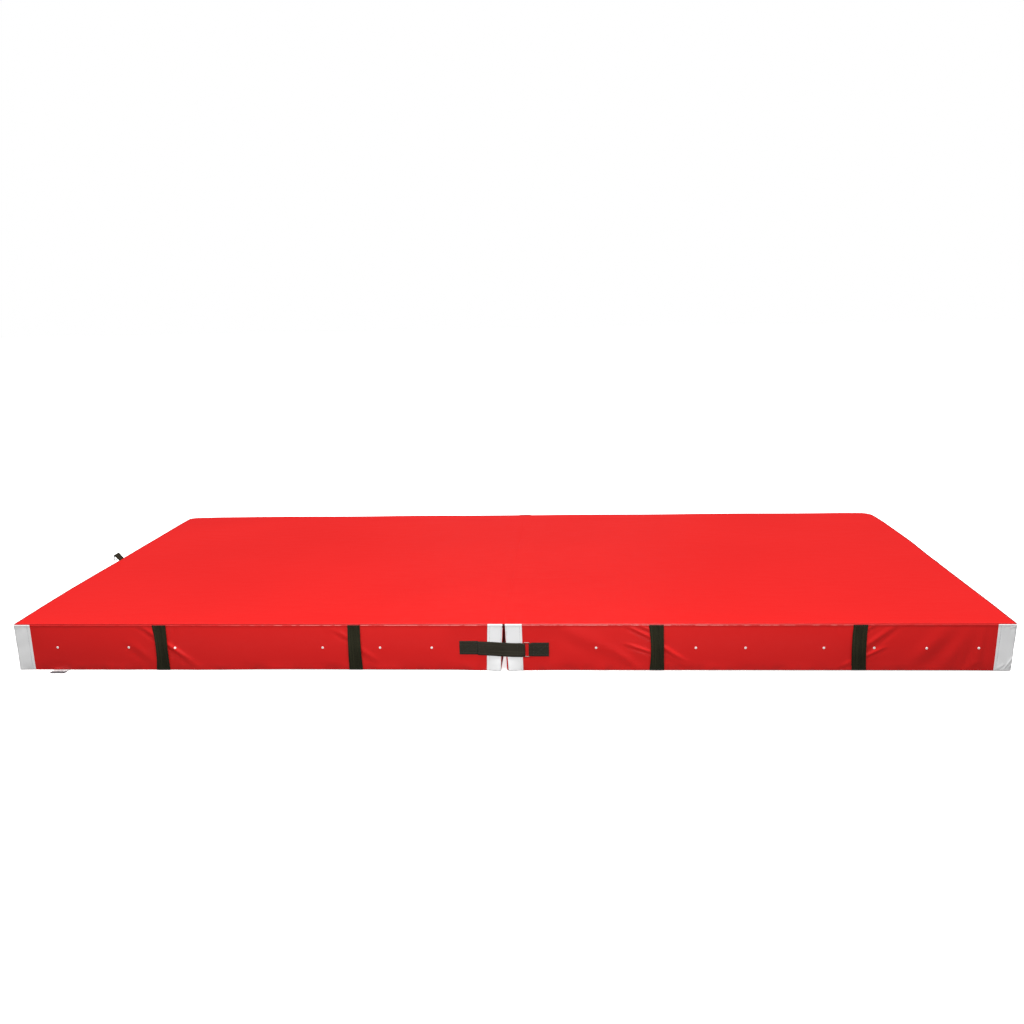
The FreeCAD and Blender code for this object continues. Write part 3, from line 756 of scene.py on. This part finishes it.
def sew(name, body, slot, material, lines, pitch=6 * MM, long=4.4 * MM, radius=0.45 * MM):
    """Stitches along lines, each (points, outward directions), as one piece."""
    shape, shape_faces = stitch_shape(long, radius)
    points, faces = [], []
    for line, outward in lines:
        line, outward = np.asarray(line, float), np.asarray(outward, float)
        run = length_along(line)
        for at in np.arange(pitch / 2, run[-1], pitch):
            here, ahead, behind = (np.array([np.interp(t, run, line[:, k]) for k in range(3)])
                                   for t in (at, at + 1 * MM, at - 1 * MM))
            out = np.array([np.interp(at, run, outward[:, k]) for k in range(3)])
            along = (ahead - behind) / np.linalg.norm(ahead - behind)
            beside = np.cross(out, along)
            beside /= np.linalg.norm(beside)
            frame_axes = np.array([along, beside, np.cross(along, beside)])
            start = len(points) * len(shape)
            points.append(here + shape @ frame_axes)
            faces += [[start + i for i in face] for face in shape_faces]
    put(new_piece(name, np.concatenate(points), faces, [material]), body, slot)


def sew_webbing(name, body, lines, outward):
    """Small black stitches along lines on webbing, all facing one way."""
    sew(name, body, "black_webbing", BLACK_THREAD,
        [(line, np.tile(outward, (len(line), 1))) for line in lines], **SMALL_STITCH)


def box_stitch(wall, x_low, x_high, off, mid_z):
    """Lines of a sewn rectangle with a cross in it, on a strap beside a long wall."""
    inset = 4 * MM
    a = np.array((x_low + inset, wall * (REACH + off), mid_z - STRAP_WEB / 2 + inset))
    across = np.array((x_high - x_low - 2 * inset, 0, 0))
    up = np.array((0, 0, STRAP_WEB - 2 * inset))
    b, c, d = a + across, a + across + up, a + up
    return [np.linspace(p, q, 12) for p, q in ((a, b), (b, c), (c, d), (d, a), (a, c), (b, d))]


# ---- webbing ----
STRAP_THICK = 1.9 * MM


def ribbon(name, belongs, spine, across, width, thick, material, relief=None, columns=12):
    """A closed strip of webbing. spine is its middle line and across its unit width direction.

    belongs is its body, its slot and the CAD nodes it stands for. width may change along it.
    relief(w, s) lifts its face, w and s being fractions across and along.
    """
    spine = np.asarray(spine, float)
    across = np.broadcast_to(np.asarray(across, float), spine.shape)
    tangent = np.gradient(spine, axis=0)
    tangent /= np.linalg.norm(tangent, axis=1)[:, None]
    normal = np.cross(across, tangent)
    normal /= np.linalg.norm(normal, axis=1)[:, None]
    run = length_along(spine)
    width = np.broadcast_to(np.asarray(width, float), run.shape)
    edge = 0.7 * MM / width.min()
    w = np.concatenate([[-0.5, -0.5 + edge / 2], np.linspace(-0.5 + edge, 0.5 - edge, columns - 3),
                        [0.5 - edge / 2, 0.5]])
    thin = np.interp(0.5 - np.abs(w), [0, edge / 2, edge], [0.3, 0.8, 1.0])
    selvedge = 1 + 0.25 * bell((0.5 - np.abs(w)) / edge, 2, 1)
    half_thick = 0.5 * thick * thin * selvedge
    lift = np.zeros((len(run), len(w)))
    if relief is not None:
        lift = relief(w[None, :], (run / run[-1])[:, None]) + lift
    rows, weave = [], []
    for k in range(len(run)):
        middle = spine[k] + np.outer(w * width[k], across[k]) + np.outer(lift[k], normal[k])
        rows.append(np.concatenate([middle + np.outer(half_thick, normal[k]),
                                    (middle - np.outer(half_thick, normal[k]))[::-1]]))
        place = xyz(w * WEB, run[k], 0)
        weave.append(np.concatenate([place, place[::-1]]))
    around, count = 2 * len(w), len(w)
    faces = quads(len(rows), around, closed=True)
    for start in (0, (len(rows) - 1) * around):
        faces += [[start + j, start + j + 1, start + around - 2 - j, start + around - 1 - j]
                  for j in range(count - 1)]
    piece = new_piece(name, np.concatenate(rows), faces, [material], weave=np.concatenate(weave))
    put(piece, *belongs)
    return piece


def through(values, t):
    """A smooth curve through three values, at t = 0, 0.5 and 1."""
    first, middle, last = values
    return first * (1 - 2 * t) * (1 - t) + middle * 4 * t * (1 - t) + last * t * (2 * t - 1)


def handle(side, wall, place):
    """A slack strap, sewn down at the top and bottom seams, that stands off the wall between. Gives the
    lines of its stitches."""
    draw = random.Random(100 + 7 * side + 3 * wall + len(place))
    offsets, widths, fold = HANDLE_SET[side, place]
    if wall > 0:
        offsets = [draw.uniform(-7, 7) for _ in range(3)]
        widths = [draw.uniform(50, 57) for _ in range(3)]
        fold = (draw.uniform(-0.2, 0.2), draw.uniform(-0.2, 0.2), draw.uniform(1.4, 3.0))
    node = f"{HALVES[side]}_{WALLS[wall]}_{place}_handle"
    low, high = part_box(node)
    bow = 0.75 * (high.y - low.y - 12 * MM)
    heights = np.concatenate([np.linspace(0.1955, 0.186, 5), np.linspace(0.182, 0.016, 34),
                              np.linspace(0.012, 0.0025, 5)])
    t = np.clip((0.188 - heights) / 0.176, 0, 1)
    stand = bow * np.sin(math.pi * t ** 1.12) ** 1.15
    middle = side * HANDLES[place] + through(offsets, t) * MM
    spine = cover_surface(side, np.abs(middle), wall * REACH, heights, 1.9 * MM)
    spine[:, 0] = middle
    for _ in range(60):                 # it bridges the wall's creases
        spine[1:-1, 1] = (spine[:-2, 1] + 2 * spine[1:-1, 1] + spine[2:, 1]) / 4
    spine[:, 1] += wall * stand
    width = through(widths, t) * MM

    def relief(w, s):
        line = fold[0] + (fold[1] - fold[0]) * s
        slack = np.sin(math.pi * s) ** 0.5
        folds = 1.3 * bell(w, line + 0.15, 0.07) - 1.1 * bell(w, line, 0.055)
        folds = folds - 0.9 * bell(w, 0.6 * line - 0.27, 0.06)
        cup = 1.0 * MM * (1 - 4 * w ** 2)
        return slack * (fold[2] * MM * folds + cup)

    ribbon(f"{node}_webbing", (f"{HALVES[side]}_half", "black_webbing", node), spine, (-wall, 0, 0), width,
           2 * MM, BLACK_WEB, relief, columns=18)
    lines = []
    for z in (0.1935, 0.1885, 0.0055, 0.0105):
        k = int(np.argmin(np.abs(heights - z)))
        reach = width[k] / 2 - 4 * MM
        ends = [spine[k] + np.array([sign * reach, wall * 1.1 * MM, 0]) for sign in (-1, 1)]
        lines.append((np.linspace(*ends, 8), np.full((8, 3), (0, wall, 0))))
    return lines


def wall_run(x, y_off, z, wall):
    """Points beside a long wall: y_off is how far they stand off its plane."""
    return xyz(x, wall * (REACH + y_off), z)


def arc(centre, radius, start, end, steps=12):
    """Points (x, off) of an arc in degrees."""
    angles = np.radians(np.linspace(start, end, steps))
    return centre[0] + radius * np.cos(angles), centre[1] + radius * np.sin(angles)


def coupling(wall):
    """Hook-and-loop strap across the fold, its sewn end, and the tab that holds its ring."""
    name, up, out = WALLS[wall], (0, 0, -wall), (0, wall, 0)

    low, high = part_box(f"{name}_strap_anchor")
    mid_z = (low.z + high.z) / 2 - 2 * MM
    xs = np.linspace(low.x, high.x + 0.8 * MM, 20)
    ribbon(f"{name}_strap_anchor_webbing", ("left_half", "black_webbing", f"{name}_strap_anchor"),
           wall_run(xs, 1.0 * MM, mid_z, wall), up, STRAP_WEB, 2 * MM, STRAP,
           lambda w, s: 0.5 * MM * bell(s, 0, 0.05))
    sew_webbing(f"{name}_strap_anchor_thread", "left_half",
                box_stitch(wall, low.x, high.x, 2.1 * MM, mid_z), out)

    # the strap goes out, round the ring's bar, and back under itself
    low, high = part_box(f"{name}_strap")
    ring_low, ring_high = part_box(f"{name}_ring")
    bar_x, bar_off = ring_low.x + WIRE, abs(ring_low.y + ring_high.y) / 2 - REACH
    rise_x, loop_x = bar_x - 0.015, bar_x + 3 * MM      # from where it lifts, to where it turns back
    ease = smooth(0, 1, np.linspace(0, 1, 8)[1:])
    outer_x = np.linspace(low.x, rise_x, 26)
    outside, inside = 3.4 * MM, 1.25 * MM       # its two layers, off the wall's plane
    outer_off = np.full(len(outer_x), outside)
    lift_x = np.linspace(rise_x, loop_x, 8)[1:]
    lift_off = outside + (bar_off + ROUND_WIRE - outside) * ease
    turn_x, turn_off = arc((loop_x, bar_off), ROUND_WIRE, 90, -90)
    under_x = np.linspace(loop_x, low.x + 0.055, 24)[1:]
    under_off = inside + (bar_off - ROUND_WIRE - inside) * fade(0, 1, (loop_x - under_x) / 0.02)
    xs = np.concatenate([outer_x, lift_x, turn_x[1:], under_x])
    off = np.concatenate([outer_off, lift_off, turn_off[1:], under_off])
    mid_z = (low.z + high.z) / 2
    zs = mid_z + 1.5 * MM - 8.5 * MM * smooth(-0.02, 0.16, xs - low.x)
    bunched = smooth(bar_x - 8 * MM, bar_x + 2 * MM, xs)
    widths = (STRAP_WEB + 1 * MM) * (1 - bunched) + BUNCHED_WEB * bunched
    ribbon(f"{name}_strap_webbing",
           (f"{name}_strap", "black_webbing", f"{name}_strap", f"{name}_strap_loop"),
           wall_run(xs, off, zs, wall), up, widths, STRAP_THICK, STRAP)
    seams = [wall_run(x, y_off, mid_z + shift + np.linspace(-0.025, 0.025, 12), wall)
             for x, y_off, shift in ((low.x + 5 * MM, 4.4 * MM, 1 * MM), (bar_x - 0.024, 4.5 * MM, -6 * MM))]
    sew_webbing(f"{name}_strap_thread", f"{name}_strap", seams, out)

    # the tab: two layers sewn down, opening round the ring's other bar
    low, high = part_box(f"{name}_ring_tab")
    mid_z = (low.z + high.z) / 2
    bar_x = ring_high.x - WIRE
    sewn_x = high.x - 0.065
    over_x = np.linspace(high.x, sewn_x, 14)
    ease_x = np.linspace(sewn_x, bar_x, 8)[1:]
    turn_x, turn_off = arc((bar_x, bar_off), ROUND_WIRE, 90, 270)
    xs = np.concatenate([over_x, ease_x, turn_x[1:], ease_x[::-1][1:], over_x[::-1]])
    outside, inside = 3.1 * MM, 1.05 * MM
    top_off = outside + (bar_off + ROUND_WIRE - outside) * ease
    low_off = inside + (bar_off - ROUND_WIRE - inside) * ease
    off = np.concatenate([np.full(len(over_x), outside), top_off, turn_off[1:], low_off[::-1][1:],
                          np.full(len(over_x), inside)])
    bunched = fade(bar_x + 2 * MM, bar_x + 0.012, xs)
    widths = STRAP_WEB * (1 - bunched) + BUNCHED_WEB * bunched
    ribbon(f"{name}_ring_tab_webbing", ("right_half", "black_webbing", f"{name}_ring_tab"),
           wall_run(xs, off, mid_z, wall), up, widths, STRAP_THICK, STRAP)
    sew_webbing(f"{name}_ring_tab_thread", "right_half",
                box_stitch(wall, sewn_x, high.x, 4.2 * MM, mid_z), out)


def fold_fabric():
    """The middle of the top fabric, which bends at the fold, with a soft crease down it."""
    offsets = np.array([60, 56, 52, 46, 40, 34, 28, 22, 17, 13, 10, 7.5, 5.5, 4, 2.5, 1.2]) * MM
    xs = np.concatenate([-offsets, [0], offsets[::-1]])
    ys = spread(-REACH + 0.5 * MM, REACH - 0.5 * MM, 200, [(-REACH, 0.04, 4), (REACH, 0.04, 4)])
    x, y = np.meshgrid(xs, ys)
    level = np.where(x < 0, -top_drop(-1, np.abs(x), y), -top_drop(1, np.abs(x), y))
    middle = 0.5 * (-top_drop(-1, 0 * x, y) - top_drop(1, 0 * x, y))
    level = level + (middle - level) * fade(0, 0.02, np.abs(x))
    proud = 0.30 * MM - 0.50 * MM * smooth(0.030, 0.060, np.abs(x))
    dip = 0.7 * MM * bell(x, 0, 3.5 * MM)
    end = 1.2 * MM * fade(0, 5 * MM, REACH - np.abs(y))
    upper = xyz(x, y, THICK + level + proud - dip - end)
    lower = upper - np.array([0, 0, 1.2 * MM])
    rows, columns = len(ys), len(xs)
    size = rows * columns
    points = np.concatenate([upper.reshape(-1, 3), lower.reshape(-1, 3)])
    faces = quads(rows, columns) + quads(rows, columns, start=size)
    rim = [i * columns for i in range(rows)] + [(rows - 1) * columns + j for j in range(1, columns)]
    rim += [i * columns + columns - 1 for i in range(rows - 2, -1, -1)] + list(range(columns - 2, 0, -1))
    faces += [[a, b, b + size, a + size] for a, b in zip(rim, rim[1:] + rim[:1])]
    strip = new_piece("fold_fabric", points, faces, [RED])
    put(strip, None, "red_vinyl", "fold_strip")
    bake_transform(strip)


def fold_webbing():
    """Webbing over each end of the fold: tucked into the gap in front, laid over the edge behind."""
    low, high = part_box("front_hinge_tab")
    reach, top = high.x - 1 * MM, high.z - 1.2 * MM
    down = np.linspace(low.z, top - reach, 8)
    turn = np.radians(np.linspace(180, 0, 13))
    x = np.concatenate([np.full(8, -reach), reach * np.cos(turn)[1:-1], np.full(8, reach)])
    z = np.concatenate([down, top - reach + reach * np.sin(turn)[1:-1], down[::-1]])
    y = (low.y + high.y) / 2
    front = ribbon("front_hinge_webbing", (None, "brown_webbing", "front_hinge_tab"), xyz(x, y, z),
                   (0, 1, 0), high.y - low.y, 1.6 * MM, BROWN_WEB)

    low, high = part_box("back_hinge_tab")
    behind = REACH + 4.5 * MM           # clear of the white strips' sewn lips
    over = THICK - 1.7 * MM
    bend = 3.4 * MM
    turn = np.radians(np.linspace(90, 0, 8))[1:]
    y = np.concatenate([np.linspace(low.y, behind - bend, 5), behind - bend + bend * np.cos(turn),
                        np.full(6, behind)])
    z = np.concatenate([np.full(5, over), over - bend + bend * np.sin(turn),
                        np.linspace(over - 6 * MM, low.z, 6)])
    back = ribbon("back_hinge_webbing", (None, "brown_webbing", "back_hinge_tab"), xyz(0, y, z),
                  (1, 0, 0), high.x - low.x, 1.4 * MM, BROWN_WEB, columns=24)
    for piece in (front, back):
        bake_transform(piece)


def end_tab():
    """Webbing tab out of the left end's top seam, round the end ring's upper bar."""
    low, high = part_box("end_ring")
    bar = np.array([(low.x + high.x) / 2, high.z - WIRE])
    tab_low, tab_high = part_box("end_ring_tab")
    y = (tab_low.y + tab_high.y) / 2
    root = np.array([-HALF - 4 * MM, THICK - 5.0 * MM])
    along = (bar - root) / np.linalg.norm(bar - root)
    beside = np.array([along[1], -along[0]])
    t = np.linspace(0, 1, 16)
    gap = 1.0 * MM + (ROUND_WIRE - 1.0 * MM) * smooth(0.45, 1, t)
    sway = -1.2 * MM * np.sin(math.pi * t)     # away from the ring, which swings towards the mat
    line = root + np.outer(t, bar - root) + np.outer(sway, -beside)
    upper, lower = line - gap[:, None] * beside, line + gap[:, None] * beside
    heading = math.atan2(along[1], along[0])
    angles = heading + np.radians(np.linspace(90, -90, 14))
    turn = bar + ROUND_WIRE * np.stack([np.cos(angles), np.sin(angles)], axis=-1)
    if np.linalg.norm(turn[0] - upper[-1]) > np.linalg.norm(turn[0] - lower[-1]):
        upper, lower = lower, upper
    path = np.concatenate([upper, turn[1:-1], lower[::-1]])
    ribbon("end_ring_tab_webbing", ("left_half", "black_webbing", "end_ring_tab"),
           xyz(path[:, 0], y, path[:, 1]), (0, 1, 0), WEB, STRAP_THICK, BLACK_WEB)


def link_strap():
    """Hook-and-loop strap that hangs down the right end from the top seam, with a full root."""
    low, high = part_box("link_strap")
    heights = np.linspace(high.z + 1.5 * MM, low.z, 36)
    y = (low.y + high.y) / 2
    wall = cover_surface(1, HALF, y, heights)[:, 0]
    root = bell(heights, high.z, 7 * MM)
    x = np.maximum(wall, HALF) + 1.9 * MM + 1.2 * MM * root
    x = x - 4 * MM * smooth(high.z - 1.5 * MM, high.z + 1.5 * MM, heights)
    spine = xyz(x, y, heights)
    ribbon("link_strap_webbing", ("link_strap", "black_webbing", "link_strap"), spine, (0, 1, 0), WEB,
           2.4 * MM, BLACK_WEB, lambda w, s: 0.8 * MM * np.sin(7 * s + 2 * w) * s)
    lines = []
    for z in (low.z + 5 * MM, low.z + 12 * MM):
        k = int(np.argmin(np.abs(heights - z)))
        lines.append(spine[k] + np.linspace((1.5 * MM, -0.02, 0), (1.5 * MM, 0.02, 0), 8))
    sew_webbing("link_strap_thread", "link_strap", lines, (1, 0, 0))


# ---- eyelets, zips, label ----
def revolve(profile, steps):
    """Points and faces of a profile of (radius, height), turned about Z."""
    angles = np.linspace(0, 2 * math.pi, steps, endpoint=False)
    points = [(r * math.cos(a), r * math.sin(a), h) for r, h in profile for a in angles]
    return np.array(points), quads(len(profile), steps, closed=True)


def eyelets(side, wall):
    """Pressed vent eyelets: a rolled flange, a throat, and a dark disc behind it, which is painted shade for
    the inside of the vent.
    """
    flange = [(1.0, -0.9), (0.95, 0.2), (1.2, 0.95), (2.0, 1.25), (3.0, 1.15), (3.9, 0.85), (4.6, 0.45),
              (4.8, 0.05), (4.7, -0.5)]
    steps = 28
    metal_shape, metal_faces = revolve([(r * MM, h * MM) for r, h in flange], steps)
    # a disc of painted shade in the eyelet's throat
    shade_disc_shape = metal_shape[:steps] * np.array([1.0, 1.0, 0]) + np.array([0, 0, 0.15 * MM])
    points, faces, which = [], [], []
    for u in EYELETS[side]:
        centre, beside, above = (cover_surface(side, u + du, wall * REACH, THICK / 2 + dz)
                                 for du, dz in ((0, 0), (4 * MM, 0), (0, 4 * MM)))
        across = (beside - centre) / np.linalg.norm(beside - centre)
        out = np.cross(across, above - centre)
        out *= np.sign(out[1]) * wall / np.linalg.norm(out)
        axes = np.array([across, np.cross(out, across), out])
        start = sum(len(p) for p in points)
        points.append(centre + metal_shape @ axes)
        faces += [[start + i for i in face] for face in metal_faces]
        which += [0] * len(metal_faces)
        start += len(metal_shape)
        points.append(centre + shade_disc_shape @ axes)
        faces.append([start + i for i in range(steps)])
        which.append(1)
    node = f"{HALVES[side]}_{WALLS[wall]}_eyelets"
    piece = new_piece(f"{node}_metal", np.concatenate(points), faces, [EYELET_PAINTED_SHINE, VENT_PAINTED_SHADE],
                      face_materials=which)
    put(piece, f"{HALVES[side]}_half", "eyelet_metal", node)


def zip_line(side):
    """Zip along the outer end wall: woven tape with a raised edge, the coil's turns, slider and pull."""
    half = HALVES[side]
    low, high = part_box(f"{half}_zip_tape")
    ys = np.linspace(low.y, high.y, 120)
    z, tape_thick = (low.z + high.z) / 2, high.x - low.x
    ribbon(f"{half}_zip_tape_cloth", (f"{half}_half", "zip_tape", f"{half}_zip_tape"),
           xyz(side * (HALF + tape_thick / 2), ys, z), (0, 0, 1.0), high.z - low.z, tape_thick, TAPE)
    rows = [(xyz(side * (HALF + tape_thick), ys, row), np.full((len(ys), 3), (side, 0, 0)))
            for row in (low.z + 5 * MM, high.z - 5 * MM)]
    sew(f"{half}_zip_thread", f"{half}_half", "zip_tape", RED_THREAD, rows, pitch=5 * MM, long=3.8 * MM)

    low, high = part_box(f"{half}_zip_teeth")
    pitch, wide, tall = 2.6 * MM, (high.z - low.z) / 2, high.x - low.x
    sections = ((-0.10, 0.55), (0.05, 0.95), (0.60, 1.0), (0.95, 0.85), (1.0, 0.4))
    around = 8
    ring = np.radians(np.linspace(0, 360, around, endpoint=False))
    points, faces = [], []
    for k, y in enumerate(np.arange(low.y + pitch / 2, high.y, pitch / 2)):
        way = 1 if k % 2 else -1
        for s, r in sections:
            for a in ring:
                points.append((side * (HALF + tape_thick + tall * (0.5 + 0.5 * r * math.sin(a))),
                               y + 0.62 * MM * r * math.cos(a), z + way * wide * s))
        start = len(points) - len(sections) * around
        faces += quads(len(sections), around, closed=True, start=start)
        faces += [list(range(end, end + around)) for end in (start, len(points) - around)]
    teeth = new_piece(f"{half}_zip_coil", points, faces, [NYLON])
    put(teeth, f"{half}_half", "zip_teeth", f"{half}_zip_teeth")
    zip_casting(f"{half}_zip_slider", 0.35 * MM)
    zip_casting(f"{half}_zip_pull", 0.3 * MM)


def zip_casting(node, radius):
    """A zip part's own CAD shape with its edges broken, standing for it."""
    edit = bmesh.new()
    edit.from_mesh(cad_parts[node].data)
    bmesh.ops.remove_doubles(edit, verts=edit.verts, dist=1e-6)
    bmesh.ops.dissolve_limit(edit, angle_limit=math.radians(1), verts=edit.verts, edges=edit.edges)
    sharp = [e for e in edit.edges if len(e.link_faces) == 2 and e.calc_face_angle() > math.radians(40)]
    bmesh.ops.bevel(edit, geom=sharp, offset=radius, segments=3, profile=0.5, affect="EDGES",
                    clamp_overlap=True)
    mesh = bpy.data.meshes.new(f"{node}_cast")
    edit.to_mesh(mesh)
    edit.free()
    mesh.materials.append(ZIP_METAL)
    mesh.shade_smooth()
    put(in_scene(f"{node}_cast", mesh), node, "zip_metal", node)


def care_label():
    """Blank two-tone cloth label in the bottom front seam, lying on the floor with a curled edge."""
    low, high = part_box("care_label")
    ys = np.linspace(high.y + 2 * MM, low.y - 6 * MM, 40)
    t = np.linspace(0, 1, 40)
    z = 0.8 * MM + 2.6 * MM * smooth(0.6, 1.0, t) + 0.6 * MM * np.sin(5 * t)
    x = (low.x + high.x) / 2 - 3 * MM - 9 * MM * t
    width = high.x - low.x + 7 * MM
    piece = ribbon("care_label_cloth", ("left_half", "label_cloth", "care_label"), xyz(x, ys, z),
                   (1, 0, 0), width, 0.5 * MM, LABEL,
                   lambda w, s: 1.0 * MM * s * (np.sin(6 * w + 2.5 * s) ** 2))
    piece.data.materials.append(LABEL_HEM)
    hem_end = low.y + 0.52 * (high.y - low.y)
    for face in piece.data.polygons:
        face.material_index = int(face.center.y > hem_end)


# ---- the stage ----
def camera():
    """Where the photographer stood, above the front of the right half, turned a little left."""
    turned_left, looking_down, rolled = math.radians(3.51), math.radians(12.40), math.radians(-1.17)
    data = bpy.data.cameras.new("camera")
    data.lens, data.sensor_width = 36.66, 36.0
    data.clip_end = 200
    piece = in_scene("camera", data)
    piece.matrix_world = (Matrix.Translation((0.288, -4.962, 1.529)) @ Matrix.Rotation(turned_left, 4, "Z")
                          @ Matrix.Rotation(math.pi / 2 - looking_down, 4, "X")
                          @ Matrix.Rotation(rolled, 4, "Z"))
    bpy.context.scene.camera = piece


def softbox(name, place, target, size, power, glossy):
    data = bpy.data.lights.new(name, "AREA")
    data.shape, data.size, data.size_y, data.energy = "RECTANGLE", size[0], size[1], power
    piece = in_scene(name, data)
    piece.visible_camera, piece.visible_glossy = False, glossy
    piece.location = place
    piece.rotation_euler = (Vector(target) - Vector(place)).to_track_quat("-Z", "Y").to_euler()


def studio():
    """White surroundings, a broad even light overhead and soft ones all round. Only the overhead light
    and the low one in front are seen in reflections, which keeps the glare on the top faint."""
    scene = bpy.context.scene
    scene.view_settings.view_transform = "Standard"
    data = bpy.data.lights.new("overhead", "SUN")
    data.energy, data.angle = 3.16, math.radians(10)
    in_scene("overhead", data).rotation_euler = (math.radians(5), 0, 0)
    softbox("front", (0.0, -2.6, 1.5), (0.0, -1.0, 0.1), (3.2, 1.0), 26, glossy=False)
    softbox("front_low", (-0.1, -3.1, 0.42), (-0.1, -1.0, 0.12), (2.6, 0.3), 5.5, glossy=True)
    softbox("floor_bounce", (-0.1, -1.35, 0.02), (-0.1, -1.0, 0.02), (3.0, 0.02), 0.28, glossy=False)
    softbox("back", (0.0, 3.4, 1.6), (0, 1.0, 0.1), (2.2, 1.0), 26, glossy=False)
    softbox("left", (-4.2, 0.3, 1.3), (-2.0, 0.3, 0.1), (1.6, 0.8), 12, glossy=False)
    softbox("right", (4.2, 0.3, 1.3), (2.0, 0.3, 0.1), (1.6, 0.8), 12, glossy=False)

    world = bpy.data.worlds.new("studio")
    scene.world = world
    world.use_nodes = True
    tree = world.node_tree
    rays = tree.nodes.new("ShaderNodeLightPath").outputs
    shader = tree.nodes["Background"]
    shader.inputs["Strength"].default_value = 0.40
    # plain white to look at, dim in reflections
    for ray, strength in (("Is Glossy Ray", 0.055), ("Is Camera Ray", 1.0)):
        layer, mix = tree.nodes.new("ShaderNodeBackground"), tree.nodes.new("ShaderNodeMixShader")
        layer.inputs["Color"].default_value = rgb(1, 1, 1)
        layer.inputs["Strength"].default_value = strength
        tree.links.new(rays[ray], mix.inputs[0])
        tree.links.new(shader.outputs[0], mix.inputs[1])
        tree.links.new(layer.outputs[0], mix.inputs[2])
        shader = mix
    tree.nodes["Background"].inputs["Color"].default_value = rgb(1, 1, 1)
    tree.links.new(shader.outputs[0], tree.nodes["World Output"].inputs["Surface"])

    wide = 30.0
    floor = new_piece("floor", [(-wide, -wide, 0), (wide, -wide, 0), (wide, wide, 0), (-wide, wide, 0)],
                      [(0, 1, 2, 3)], [])
    f = Finish("floor", specular=0.1)
    f.shader.inputs["Emission Color"].default_value = rgb(1, 1, 1)
    f.shader.inputs["Emission Strength"].default_value = 0.75
    shade = f.mixed(f.noise(0.8, 3), rgb(0.93, 0.93, 0.93), rgb(0.96, 0.96, 0.96))
    floor.data.materials.append(f.done(shade, 0.9, f.bump(f.noise(300, 2), 0.02, 0.1 * MM)))
    floor.visible_diffuse = False
    floor.visible_glossy = False


# ---- everything together ----
def top_seam(side):
    """The stitched line on the top, just inside its front, outer and back edges."""
    count, inset = 500, 9 * MM
    us = np.linspace(0.02, HALF - 0.03, count)
    ys = np.linspace(-REACH + 0.02, REACH - 0.02, count)
    return [(cover_surface(side, u, y, THICK), np.full((count, 3), (0, 0, 1)))
            for u, y in ((us, -REACH + inset), (HALF - inset, ys), (us, REACH - inset))]


def whole_half(side):
    """One half with all that is sewn or fitted to it."""
    half = HALVES[side]
    body = f"{half}_half"
    padded_half(side)
    corner_lines, handle_lines = [], []
    for wall in WALLS:
        for place in ("outer", "inner"):
            corner_lines += corner_piece(side, wall, place)
        for place in HANDLES:
            handle_lines += handle(side, wall, place)
        eyelets(side, wall)
    sew(f"{half}_corner_thread", body, "white_vinyl", GREY_THREAD, corner_lines)
    sew(f"{half}_handle_thread", body, "black_webbing", BLACK_THREAD, handle_lines, **SMALL_STITCH)
    sew(f"{half}_top_thread", body, "red_vinyl", RED_THREAD, top_seam(side), pitch=8 * MM, long=5.5 * MM,
        radius=0.4 * MM)
    zip_line(side)


camera()
studio()
slack_grids.update({(side, wall): simulated_slack(side, wall) for side in HALVES for wall in WALLS})
for which_half in HALVES:
    whole_half(which_half)
for which_wall in WALLS:
    coupling(which_wall)
fold_fabric()
fold_webbing()
end_tab()
link_strap()
care_label()
for ring_name, finish in (("front_ring", STEEL_PAINTED_RED_REFLECTION), ("back_ring", STEEL_PAINTED_RED_REFLECTION), ("end_ring", DARK_STEEL)):
    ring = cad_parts[ring_name]
    ring.data.materials.clear()
    ring.data.materials.append(finish)
